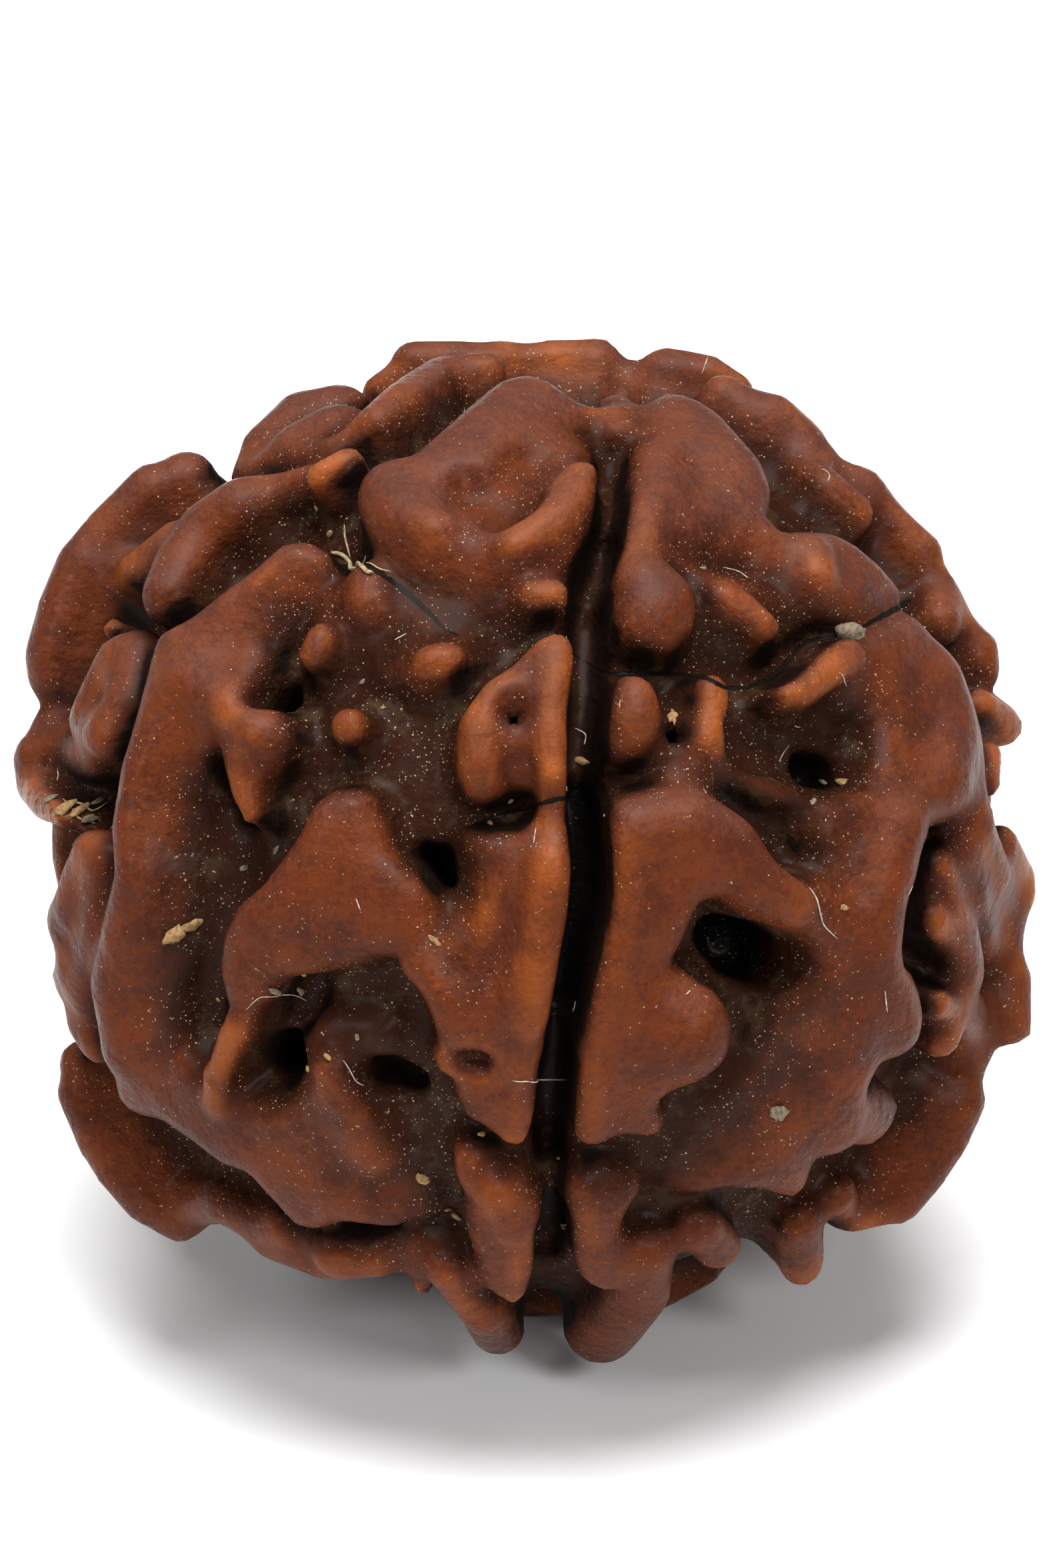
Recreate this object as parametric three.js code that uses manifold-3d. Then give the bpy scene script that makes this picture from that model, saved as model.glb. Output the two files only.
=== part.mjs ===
import * as THREE from "three";
import { mergeVertices } from "three/addons/utils/BufferGeometryUtils.js";
import Module from "manifold-3d";

// Driving dimensions of the stone, in millimetres and degrees
const FLOOR_RADIUS = 10.8;
const CENTRE_HEIGHT = 12.35;
const CENTRE_ACROSS = -0.04;
const CENTRE_BACK = 0.26;
const FLOOR_UNEVENNESS = 0.16;
const STEM_SHARE = 0.96;
const LOBE_STEM_SHARE = 0.85;
const FLANK_SPREAD = 0.16;
const WIDEST_FOOT = 0.35;
const JOIN_SOFTNESS = 0.6;
const CUT_SOFTNESS = 0.35;

// The chart is drawn as the stone is seen from the front, from this far off and this high
const CHART_DISTANCE = 300;
const CHART_ELEVATION = 28;
const CHART_EYE_UP = 1.7;

// Five furrows run from pole to pole and part the stone into five faces
const FURROW_ANGLES = [-63, 7.5, 83, 152, 226];
const FURROW_HALF_WIDTH = 0.42;
const FURROW_DEPTH = 1.0;

// Hollows are charted at this height above the valley floor
const MOUTH_HEIGHT = 1.5;

// How far, squared, a plate's corner shares its height with what lies round it
const HEIGHT_BLUR = 0.25;

// The line between the poles of the furrows
const POLE = new THREE.Vector3(1.4, 12, 0.4).normalize();

// Hidden faces start this far behind the outline, and vary from the charted ones by this much
const HIDDEN_FROM = 2.3;
const HIDDEN_WANDER = 0.3;
const HIDDEN_WIDTH_CHANGE = 0.18;
const SEED = 20417;

// The low boss under the stone, where the flat spot it rests on is
const FOOT_HEIGHT = 2.25;
const FOOT_HALF_WIDTH = 3.0;

// Fineness of the faceted surface, and how far round each corner its height is averaged
const SPHERE_DETAIL = 23;
const AVERAGED_OVER = 0.3;
const AVERAGED_AT = 6;
const SEARCH_FROM = 14.5;
const SEARCH_STEP = 0.06;
const SEARCH_HALVINGS = 12;

// Plates: rounding of the shoulder, then the corners round the edge as [across, up, height]
const PLATES = [
  // Crown, left lobe and the saddle beside it
  [0.75, [[-4.1, 9.3, 1.5], [-3.95, 8.5, 1.7], [-3.7, 7.9, 1.6], [-3.2, 7.45, 1.5], [-2.5, 7.2, 1.4],
    [-1.8, 7.1, 1.3], [-1.0, 7.2, 1.4], [-0.3, 7.3, 1.5], [0.6, 7.4, 1.4], [1.3, 7.65, 1.5],
    [1.75, 8.2, 1.6], [1.88, 8.9, 1.6], [1.65, 9.75, 1.3], [1.9, 10.4, 0.9], [2.4, 10.7, 0.9],
    [3.0, 11.2, 1.4], [2.5, 11.35, 1.5], [1.6, 11.5, 1.6], [0.7, 12.0, 1.8], [0.1, 12.2, 1.9],
    [-0.7, 12.0, 1.9], [-1.9, 11.0, 1.9], [-2.9, 10.15, 1.9], [-3.7, 9.8, 1.7]]],
  // Crown, left lobe: the slope down to the left face
  [0.6, [[-3.3, 7.6, 1.2], [-2.8, 6.9, 0.9], [-2.4, 6.4, 0.8], [-1.8, 5.9, 0.7], [-0.9, 5.8, 0.7],
    [0.1, 6.0, 0.8], [1.0, 6.2, 0.8], [1.2, 7.4, 1.0], [0.0, 7.8, 1.2], [-2.0, 7.8, 1.2]]],
  // Crown, right lobe with its arm
  [0.75, [[2.95, 10.8, 1.3], [2.85, 9.8, 1.5], [2.7, 9.0, 1.6], [2.5, 8.3, 1.6], [2.4, 7.6, 1.6],
    [2.4, 7.0, 1.6], [2.4, 6.3, 1.7], [2.7, 5.7, 1.8], [3.3, 5.4, 1.8], [3.9, 5.4, 1.8], [4.3, 5.9, 1.7],
    [4.1, 6.6, 1.6], [3.7, 7.3, 1.4], [4.2, 7.6, 1.2], [5.0, 7.5, 1.1], [5.8, 7.35, 1.1],
    [6.5, 7.0, 1.2], [7.1, 6.6, 1.4], [7.7, 6.35, 1.5], [8.3, 6.05, 1.5], [8.8, 5.95, 1.5],
    [9.3, 6.2, 1.5], [9.8, 6.45, 1.5], [9.6, 6.8, 1.6], [8.8, 7.6, 1.7], [8.3, 8.0, 1.7],
    [7.8, 8.25, 1.7], [7.2, 8.28, 1.6], [6.6, 8.25, 1.5], [6.35, 8.5, 1.5], [6.45, 9.3, 1.7],
    [6.2, 9.9, 1.8], [5.8, 10.35, 1.8], [5.2, 11.0, 1.8], [4.6, 11.4, 1.8], [4.0, 11.65, 1.8],
    [3.5, 11.72, 1.7], [3.1, 11.45, 1.5]]],
  // Crown, the slope under the arm
  [0.6, [[4.0, 7.4, 1.1], [5.0, 7.2, 1.0], [6.0, 6.9, 1.0], [7.0, 6.4, 0.9], [7.6, 5.9, 0.7],
    [7.2, 5.5, 0.5], [6.3, 5.2, 0.5], [5.4, 5.1, 0.5], [4.7, 5.3, 0.6], [4.4, 6.0, 0.8]]],
  // Left cheek down to the plateau of the lower left
  [0.7, [[-4.9, 7.3, 1.3], [-5.1, 7.8, 1.6], [-5.6, 8.05, 1.7], [-6.2, 7.9, 1.7], [-6.8, 7.35, 1.7],
    [-7.8, 6.6, 1.7], [-8.5, 6.0, 1.7], [-8.9, 5.2, 1.7], [-9.2, 4.4, 1.7], [-9.5, 3.4, 1.7],
    [-9.95, 2.2, 1.7], [-10.3, 0.6, 1.7], [-10.15, -0.5, 1.7], [-10.4, -1.7, 1.7], [-10.8, -3.2, 1.7],
    [-10.5, -4.6, 1.7], [-10.4, -6.0, 1.7], [-9.9, -6.7, 1.6], [-9.0, -7.0, 1.5], [-8.3, -7.5, 1.5],
    [-7.6, -8.05, 1.5], [-7.0, -8.25, 1.5], [-6.4, -8.9, 1.5], [-5.8, -9.55, 1.5], [-5.2, -9.7, 1.5],
    [-4.5, -9.5, 1.5], [-3.7, -9.6, 1.4], [-2.3, -9.5, 1.0], [-1.8, -9.0, 0.6], [-2.4, -8.0, 0.6],
    [-3.1, -7.2, 0.7], [-4.0, -6.4, 0.9], [-4.8, -5.7, 1.0], [-5.4, -5.4, 0.9], [-5.8, -6.2, 1.0],
    [-6.3, -6.5, 1.2], [-7.0, -6.4, 1.2], [-7.9, -6.2, 1.3], [-8.3, -5.5, 1.2], [-8.6, -4.8, 1.0],
    [-8.9, -3.8, 1.0], [-8.6, -2.8, 0.8], [-8.4, -1.6, 0.6], [-8.4, 0.0, 0.7], [-8.35, 1.3, 0.8],
    [-8.2, 2.4, 1.2], [-7.85, 2.85, 1.4], [-7.6, 2.1, 1.2], [-7.3, 1.2, 0.7], [-6.75, 0.7, 0.4],
    [-6.65, 1.7, 1.1], [-6.35, 2.35, 1.5], [-6.1, 2.9, 1.6], [-6.3, 3.45, 1.6], [-6.85, 3.85, 1.5],
    [-6.7, 4.5, 1.2], [-6.4, 5.2, 1.0], [-5.8, 6.0, 1.0], [-5.2, 6.7, 1.1]]],
  // Left face, the slope under the crown
  [0.5, [[-5.1, 6.5, 0.8], [-4.3, 7.0, 1.0], [-3.7, 7.3, 1.1], [-3.0, 6.9, 0.9], [-2.3, 6.4, 0.8],
    [-1.5, 6.0, 0.7], [-1.0, 5.3, 0.7], [-1.2, 4.6, 0.8], [-1.7, 4.2, 0.8], [-2.6, 4.1, 0.9],
    [-3.4, 4.2, 0.8], [-3.9, 4.8, 0.6], [-4.7, 5.2, 0.6], [-5.5, 5.6, 0.7]]],
  // Left face, the broad plate
  [0.65, [[-4.3, 1.6, 1.5], [-4.9, 1.55, 1.5], [-5.4, 1.2, 1.6], [-5.7, 0.5, 1.6], [-6.1, -0.1, 1.6],
    [-6.7, -0.9, 1.7], [-7.4, -1.5, 1.7], [-7.7, -2.2, 1.7], [-7.8, -3.1, 1.7], [-7.6, -3.8, 1.6],
    [-7.1, -4.1, 1.5], [-6.7, -3.85, 1.4], [-6.3, -3.4, 1.3], [-5.6, -3.15, 1.3], [-4.8, -3.0, 1.2],
    [-4.0, -2.8, 1.2], [-3.2, -2.5, 1.4], [-3.0, -3.1, 1.5], [-2.4, -3.3, 1.5], [-1.9, -2.6, 1.1],
    [-2.15, -1.5, 1.2], [-2.4, -1.05, 1.5], [-3.0, -0.5, 1.5], [-3.5, 0.1, 1.4], [-3.7, 0.9, 1.3],
    [-3.9, 1.4, 1.4]]],
  // Left bank of the front furrow, upper piece
  [0.5, [[0.3, 5.25, 1.7], [0.85, 5.55, 1.7], [1.2, 5.35, 1.7], [1.35, 4.9, 1.7], [1.25, 4.3, 1.7],
    [1.02, 3.6, 1.7], [1.15, 2.8, 1.7], [1.15, 1.9, 1.7], [1.0, 1.27, 1.6], [0.5, 1.27, 1.6],
    [0.3, 1.65, 1.3], [-0.2, 1.75, 1.3], [-0.6, 1.45, 1.5], [-1.0, 1.28, 1.6], [-1.35, 1.55, 1.7],
    [-1.52, 2.1, 1.75], [-1.57, 2.8, 1.75], [-1.45, 3.4, 1.7], [-0.8, 4.2, 1.6], [-0.2, 4.8, 1.7]]],
  // Left bank, lower column
  [0.55, [[0.5, 1.22, 1.6], [1.0, 1.22, 1.6], [1.2, 0.6, 1.7], [1.3, 0.1, 1.7], [1.25, -0.7, 1.75],
    [1.1, -2.0, 1.8], [0.9, -3.2, 1.8], [0.7, -4.2, 1.8], [0.5, -5.0, 1.75], [0.4, -5.8, 1.7],
    [0.3, -6.8, 1.7], [0.05, -7.45, 1.6], [-0.25, -7.6, 1.6], [-0.6, -7.3, 1.5], [-1.0, -7.0, 1.5],
    [-1.4, -6.8, 1.4], [-1.65, -6.3, 1.4], [-1.75, -5.85, 1.4], [-2.15, -5.6, 1.4], [-2.3, -5.3, 1.4],
    [-2.1, -5.0, 1.5], [-2.2, -4.6, 1.6], [-2.4, -4.0, 1.6], [-2.75, -3.3, 1.6], [-3.0, -2.7, 1.5],
    [-2.4, -2.5, 1.3], [-1.6, -2.6, 1.1], [-0.9, -2.2, 1.2], [-0.7, -1.7, 1.4], [-0.65, -1.0, 1.4],
    [-0.9, -0.4, 1.3], [-1.4, 0.15, 1.2], [-1.42, 0.42, 1.2], [-0.8, 0.38, 1.3], [-0.1, 0.45, 1.4],
    [0.3, 0.75, 1.5]]],
  // Left bank, the slope between the column and the broad plate
  [0.55, [[-1.5, 0.2, 0.8], [-0.7, 0.4, 1.2], [-0.5, -1.0, 1.3], [-0.6, -2.0, 1.3], [-1.2, -2.8, 1.1],
    [-2.1, -2.7, 1.1], [-2.0, -1.7, 0.9], [-1.85, -1.0, 0.6], [-1.8, -0.4, 0.5]]],
  // Left bank, lowest piece
  [0.55, [[-1.7, -7.75, 1.5], [-1.2, -7.55, 1.3], [-0.5, -7.8, 1.1], [0.05, -8.2, 1.2], [0.35, -8.9, 1.5],
    [0.42, -9.6, 1.6], [0.38, -10.6, 1.7], [0.1, -11.35, 1.7], [-0.25, -11.52, 1.7], [-0.7, -11.3, 1.7],
    [-1.1, -10.9, 1.6], [-1.25, -10.2, 1.5], [-1.45, -9.5, 1.3], [-1.4, -8.9, 1.4], [-1.7, -8.3, 1.5]]],
  // Right bank of the front furrow
  [0.6, [[2.2, 1.1, 1.5], [2.15, 0.0, 1.7], [2.25, -1.1, 1.7], [2.05, -2.2, 1.7], [1.75, -3.3, 1.7],
    [1.5, -4.6, 1.7], [1.35, -6.0, 1.7], [1.3, -7.0, 1.6], [1.45, -7.45, 1.6], [1.8, -7.6, 1.6],
    [2.5, -7.25, 1.4], [3.1, -7.3, 1.4], [3.5, -7.25, 1.4], [3.65, -6.9, 1.4], [3.4, -6.5, 1.4],
    [3.8, -6.15, 1.5], [4.5, -5.85, 1.7], [5.05, -5.3, 1.8], [5.18, -4.5, 1.8], [4.9, -3.8, 1.7],
    [4.3, -3.3, 1.5], [3.75, -2.9, 1.4], [4.2, -2.1, 1.5], [4.5, -1.3, 1.5], [5.1, -1.05, 1.6],
    [5.8, -1.5, 1.6], [6.6, -1.85, 1.5], [7.6, -2.1, 1.4], [7.6, -1.3, 1.4], [6.9, -0.8, 1.5],
    [6.2, -0.2, 1.6], [5.8, 0.5, 1.6], [5.2, 1.0, 1.6], [4.6, 1.4, 1.5], [3.9, 1.8, 1.2], [3.0, 1.5, 1.3]]],
  // Right bank, the upper knob
  [0.65, [[2.08, 3.6, 1.5], [2.25, 4.1, 1.5], [2.7, 4.45, 1.5], [3.15, 4.3, 1.5], [3.45, 3.8, 1.6],
    [3.45, 3.2, 1.6], [3.25, 2.7, 1.5], [2.9, 2.4, 1.4], [2.4, 2.45, 1.4], [2.08, 2.9, 1.5]]],
  // Right bank, the slope between its knobs and the plate below
  [0.6, [[3.3, 3.3, 1.0], [4.3, 3.6, 0.9], [5.1, 3.4, 0.9], [5.1, 2.6, 0.9], [5.6, 2.1, 0.8],
    [6.4, 1.9, 0.8], [7.2, 1.6, 0.8], [7.3, 1.1, 0.8], [6.2, 1.3, 0.8], [5.2, 1.7, 0.8],
    [4.5, 1.5, 1.2], [3.6, 1.7, 1.1], [3.3, 2.4, 0.9]]],
  // Right bank, lowest piece
  [0.6, [[1.15, -8.2, 1.1], [2.0, -8.0, 1.0], [2.8, -8.1, 1.0], [3.05, -8.7, 1.3], [2.7, -9.2, 1.4],
    [2.5, -9.6, 1.4], [2.65, -10.2, 1.6], [2.65, -10.8, 1.6], [2.4, -11.1, 1.6], [2.0, -11.2, 1.6],
    [1.6, -11.0, 1.6], [1.3, -10.5, 1.6], [1.18, -9.8, 1.5], [1.2, -9.2, 1.5], [1.1, -8.7, 1.4]]],
  // Right cheek down to the plateau of the lower right
  [0.7, [[9.8, 6.2, 1.6], [9.2, 5.95, 1.6], [8.75, 5.6, 1.5], [8.8, 5.0, 1.4], [8.9, 4.3, 1.2],
    [8.9, 3.6, 1.0], [9.2, 2.9, 1.2], [9.2, 2.2, 1.3], [8.7, 1.6, 1.2], [7.7, 1.3, 1.0], [7.2, 0.6, 0.8],
    [7.4, -0.2, 0.8], [7.2, -0.9, 1.1], [7.1, -1.6, 1.4], [7.5, -2.2, 1.4], [7.7, -2.8, 1.3],
    [7.3, -3.4, 1.2], [6.6, -3.7, 0.9], [6.0, -4.4, 0.7], [5.7, -5.4, 0.7], [4.7, -6.2, 0.6],
    [3.9, -7.1, 0.5], [3.5, -8.0, 0.6], [3.8, -8.8, 0.8], [4.9, -8.7, 1.2], [6.0, -8.65, 1.4], [6.9, -8.9, 1.4],
    [7.35, -8.4, 1.4], [7.5, -7.7, 1.4], [8.1, -7.45, 1.4], [8.8, -7.6, 1.5], [9.3, -7.1, 1.5],
    [9.7, -6.4, 1.5], [9.2, -6.15, 1.5], [8.75, -5.95, 1.3], [9.0, -5.45, 1.4], [9.6, -5.25, 1.6],
    [10.0, -4.9, 1.6], [10.1, -3.7, 1.6], [9.9, -3.15, 1.5], [9.5, -2.7, 1.5], [9.5, -1.5, 1.6],
    [9.9, -0.7, 1.6], [10.0, 0.1, 1.6], [10.4, 0.6, 1.6], [11.0, 0.9, 1.6], [11.8, 0.9, 1.6],
    [11.75, 2.2, 1.6], [11.6, 3.1, 1.6], [11.2, 3.9, 1.6], [10.9, 4.5, 1.6], [10.6, 5.2, 1.6],
    [10.2, 5.8, 1.6]]],
];

// Ridges and knobs: height above the valley floor, then points [across, up, half width]
const RAISED = [
  // Crown
  [1.95, [[-3.3, 8.9, 0.75], [-2.9, 8.3, 0.7], [-2.2, 8.0, 0.5]]],
  [1.85, [[-0.2, 7.6, 0.4], [0.5, 8.0, 0.48], [1.1, 8.6, 0.5], [1.5, 9.35, 0.42]]],
  [1.5, [[0.35, 6.35, 0.46], [0.75, 6.35, 0.46]]],
  [1.3, [[2.3, 11.0, 0.5], [2.35, 10.4, 0.5]]],
  [1.9, [[3.1, 6.6, 0.75], [3.4, 6.2, 0.85]]],
  [1.85, [[7.3, 7.4, 0.4], [7.4, 6.9, 0.4]]],
  [1.35, [[5.0, 6.3, 0.4], [5.5, 5.95, 0.48], [6.0, 5.6, 0.42]]],
  // Ridges round the upper pole
  [1.7, [[-3.6, 10.7, 0.5], [-3.0, 11.2, 0.55], [-2.0, 11.8, 0.6], [-0.9, 12.0, 0.5]]],
  [1.8, [[-6.3, 10.0, 0.75], [-5.4, 10.6, 0.95], [-4.6, 10.75, 0.95]]],
  [1.6, [[-5.4, 9.9, 0.9], [-4.6, 10.2, 1.0]]],
  [1.2, [[-3.4, 10.4, 0.6], [-2.6, 11.0, 0.6], [-1.8, 11.5, 0.5]]],
  [1.3, [[-4.0, 10.2, 0.5], [-4.6, 9.9, 0.5], [-6.0, 9.5, 0.6], [-6.8, 9.3, 0.5]]],
  [1.6, [[5.6, 10.6, 0.6], [6.6, 9.8, 0.6], [7.6, 9.0, 0.55], [8.3, 8.45, 0.5]]],
  [1.75, [[5.0, 11.4, 0.55], [6.0, 10.75, 0.6], [6.9, 9.9, 0.65], [7.8, 9.15, 0.6], [8.4, 8.65, 0.58]]],
  // Left cheek: crest of the rim and the branch
  [1.8, [[-8.6, 5.0, 0.6], [-8.9, 3.6, 0.65], [-9.4, 2.0, 0.6], [-9.6, 0.6, 0.6], [-9.5, -0.6, 0.65],
    [-9.8, -2.0, 0.7], [-10.0, -3.3, 0.75], [-9.8, -4.8, 0.7]]],
  [1.7, [[-8.2, 4.2, 0.55], [-7.3, 3.6, 0.5], [-6.7, 2.95, 0.5]]],
  [1.3, [[-6.95, 2.2, 0.4], [-6.95, 1.5, 0.32], [-6.8, 0.9, 0.2]]],
  // Left face, upper half: small knobs and the ledge
  [1.35, [[-5.0, 5.3, 0.42], [-5.15, 4.9, 0.45]]],
  [1.3, [[-4.3, 3.1, 0.5]]],
  [1.45, [[-2.3, 4.7, 0.44], [-1.9, 4.75, 0.45]]],
  [1.35, [[-3.9, 6.75, 0.4], [-3.85, 6.2, 0.5]]],
  // Left bank of the front furrow, upper piece
  [1.85, [[0.9, 4.9, 0.38], [0.85, 4.2, 0.3], [0.78, 3.0, 0.35], [0.78, 2.0, 0.3]]],
  [1.85, [[-0.6, 3.9, 0.35], [-1.05, 3.0, 0.4], [-1.05, 2.3, 0.38]]],
  // Left bank, lower column
  [1.9, [[0.75, -0.3, 0.4], [0.55, -1.5, 0.5], [0.35, -2.6, 0.5], [0.2, -4.0, 0.5]]],
  [1.75, [[-0.7, -8.5, 0.4], [-0.3, -9.2, 0.5]]],
  // Right bank of the front furrow
  [1.7, [[2.85, 3.95, 0.35], [2.85, 3.3, 0.4]]],
  [1.4, [[4.68, 4.0, 0.45], [4.75, 3.4, 0.48], [4.6, 2.8, 0.5]]],
  [2.0, [[4.1, -4.5, 1.0]]],
  [1.75, [[3.0, 0.6, 0.7], [4.2, 0.7, 0.7], [5.2, 0.2, 0.6], [5.9, -0.7, 0.5], [6.8, -1.35, 0.45]]],
  // Right cheek
  [1.75, [[10.2, 4.2, 0.8], [10.5, 3.0, 0.8], [10.3, 1.8, 0.8]]],
  [1.7, [[9.2, 0.5, 0.8], [8.9, -1.0, 0.7], [8.7, -2.5, 0.7], [9.2, -4.2, 0.7]]],
  [1.5, [[8.1, 4.85, 0.5], [7.6, 4.5, 0.42], [7.0, 4.0, 0.36], [6.6, 3.88, 0.26]]],
  [0.8, [[8.4, 4.6, 0.5], [7.8, 3.9, 0.6]]],
  [1.5, [[8.0, -4.2, 0.9], [7.7, -5.6, 0.9], [7.6, -6.7, 0.8]]],
  // Left face, lower left
  [1.5, [[-7.1, -4.3, 0.36], [-7.6, -5.3, 0.38], [-7.6, -6.1, 0.4]]],
  [0.6, [[-5.0, -4.3, 0.6], [-3.6, -4.5, 0.6]]],
  [1.2, [[-4.8, -5.4, 0.45], [-4.2, -6.5, 0.5], [-3.75, -7.5, 0.5]]],
];

// Lobes on slim stems, at the limb: height above the valley floor, then points
const LOBES = [
  // Left limb, beyond the side furrow
  [1.8, [[-8.4, 9.25, 0.78], [-9.2, 8.95, 0.78], [-10.4, 8.15, 0.5], [-10.9, 7.1, 0.8], [-11.3, 6.0, 0.85],
    [-11.6, 4.9, 0.85], [-11.6, 4.5, 0.8]]],
  [1.5, [[-8.9, 8.15, 0.35]]],
  [1.75, [[-4.35, 9.7, 0.42], [-5.0, 9.35, 0.42]]],
  [1.3, [[-5.2, 9.1, 0.6], [-6.2, 8.8, 0.6]]],
  [1.85, [[-7.0, 8.5, 0.85], [-7.8, 7.95, 0.85], [-8.4, 7.2, 0.8], [-8.8, 6.4, 0.72]]],
  [1.7, [[-8.6, 7.7, 0.6], [-9.5, 7.1, 0.5], [-10.05, 6.65, 0.5]]],
  [1.4, [[-10.2, 5.55, 0.3]]],
  [1.7, [[-10.1, 4.7, 0.6], [-10.4, 4.0, 0.65], [-10.7, 3.3, 0.65], [-10.4, 2.9, 0.55]]],
  [1.6, [[-9.6, 4.8, 0.7], [-9.8, 3.6, 0.7], [-10.2, 2.8, 0.5]]],
  [1.75, [[-11.6, 2.9, 0.75], [-12.0, 2.3, 0.75], [-12.1, 1.7, 0.58], [-11.9, 1.2, 0.42], [-11.4, 0.85, 0.28]]],
  [1.3, [[-11.1, 2.6, 0.7], [-10.5, 2.3, 0.5]]],
  [0.9, [[-9.9, 7.9, 0.6], [-10.3, 6.3, 0.6], [-10.4, 5.2, 0.6]]],
  [1.55, [[-10.3, -0.2, 0.6], [-10.4, -2.0, 0.7], [-10.7, -3.6, 0.6]]],
  [1.6, [[-10.7, 0.0, 0.55], [-10.9, -0.6, 0.6]]],
  [1.7, [[-10.9, -1.4, 0.85], [-11.05, -1.7, 0.85]]],
  [1.65, [[-10.9, -2.9, 0.75], [-11.05, -3.1, 0.7]]],
  [1.6, [[-10.7, -4.2, 0.7], [-10.5, -4.7, 0.6]]],
  // Right limb, beyond the side furrow
  [1.6, [[6.4, 10.9, 0.42], [7.0, 10.3, 0.42], [7.2, 9.8, 0.4]]],
  [1.7, [[8.5, 9.05, 0.52], [8.9, 8.6, 0.45], [9.5, 7.8, 0.6], [9.95, 7.5, 0.55]]],
  [1.7, [[10.3, 6.45, 0.62], [10.4, 5.7, 0.6]]],
  [1.75, [[10.7, 5.8, 0.5], [11.3, 5.0, 0.62], [11.35, 4.6, 0.6]]],
  [1.7, [[11.4, 3.6, 0.5], [11.95, 3.2, 0.58]]],
  [1.6, [[11.6, 2.4, 0.4], [11.6, 1.7, 0.35]]],
  [1.7, [[11.9, 0.2, 0.5], [12.35, -0.6, 0.48], [12.4, -1.0, 0.45]]],
  [1.65, [[11.2, 0.6, 0.6], [11.6, -0.5, 0.6], [11.8, -1.4, 0.65], [11.75, -2.1, 0.65]]],
  [1.45, [[10.7, 0.0, 0.7], [11.0, -1.0, 0.7], [11.3, -2.2, 0.7]]],
  [1.35, [[10.3, -0.4, 0.5], [10.5, -1.4, 0.6], [10.6, -2.6, 0.7], [10.5, -3.6, 0.7], [11.0, -4.6, 0.7]]],
  [1.6, [[11.8, -1.8, 0.6], [11.85, -2.6, 0.5]]],
  [1.5, [[10.2, -1.7, 0.45], [10.8, -2.1, 0.5], [11.0, -3.0, 0.5]]],
  [1.6, [[10.4, -4.6, 0.55]]],
  [1.6, [[10.3, -3.8, 0.4], [11.3, -4.0, 0.52]]],
  [1.7, [[12.15, -3.3, 0.6], [12.2, -4.2, 0.62]]],
  [1.65, [[11.0, -5.2, 0.6], [11.0, -6.2, 0.6], [10.6, -7.1, 0.6], [10.0, -8.0, 0.6], [9.4, -8.7, 0.6],
    [8.4, -8.9, 0.55]]],
  [1.1, [[10.2, -6.2, 0.7], [9.6, -7.4, 0.7], [8.8, -8.0, 0.7]]],
  [1.5, [[7.8, -8.5, 0.55], [7.95, -8.8, 0.52]]],
  [1.6, [[6.85, -9.2, 0.62], [7.0, -10.3, 0.6]]],
  [1.6, [[4.4, -9.3, 0.6], [4.85, -9.8, 0.62]]],
  // Lower limb
  [1.7, [[-11.0, -5.3, 0.6], [-11.0, -6.0, 0.65], [-10.6, -7.1, 0.6], [-10.1, -7.9, 0.6], [-9.4, -8.7, 0.6],
    [-8.6, -9.15, 0.58]]],
  [1.5, [[-9.9, -7.0, 0.6], [-9.0, -8.3, 0.65], [-8.4, -8.7, 0.65], [-7.4, -8.7, 0.6], [-6.5, -9.2, 0.6],
    [-5.9, -9.3, 0.6]]],
  [1.5, [[-6.2, -9.7, 0.5], [-4.9, -10.15, 0.55], [-3.7, -10.1, 0.5]]],
  [1.7, [[-4.75, -9.95, 0.55]]],
  [1.1, [[-6.0, -9.2, 0.5], [-4.6, -9.7, 0.5], [-3.4, -9.8, 0.5], [-2.6, -9.6, 0.5]]],
  [1.7, [[-1.9, -10.4, 0.5], [-1.0, -11.4, 0.6], [-0.62, -11.9, 0.68]]],
  [1.2, [[-2.6, -10.2, 0.28], [-2.5, -10.9, 0.22]]],
  [1.7, [[3.1, -9.9, 0.7], [2.8, -10.9, 0.9], [2.0, -11.8, 1.0]]],
];

// Ridges seen over the edge: how far behind the outline, then points [across, up, half width]
const BEHIND_EDGE = [
  [2.0, [[-3.5, 11.5, 0.5], [-2.7, 12.2, 0.6], [-1.6, 12.2, 0.6], [-0.8, 12.15, 0.6]]],
  [2.2, [[-0.2, 12.2, 0.5], [0.6, 12.3, 0.5], [1.8, 12.35, 0.5]]],
  [2.2, [[2.0, 12.0, 0.5], [2.8, 11.6, 0.55], [3.6, 12.0, 0.55]]],
  [2.0, [[3.6, 12.0, 0.6], [4.6, 11.85, 0.6], [5.3, 11.5, 0.5]]],
];

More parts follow.
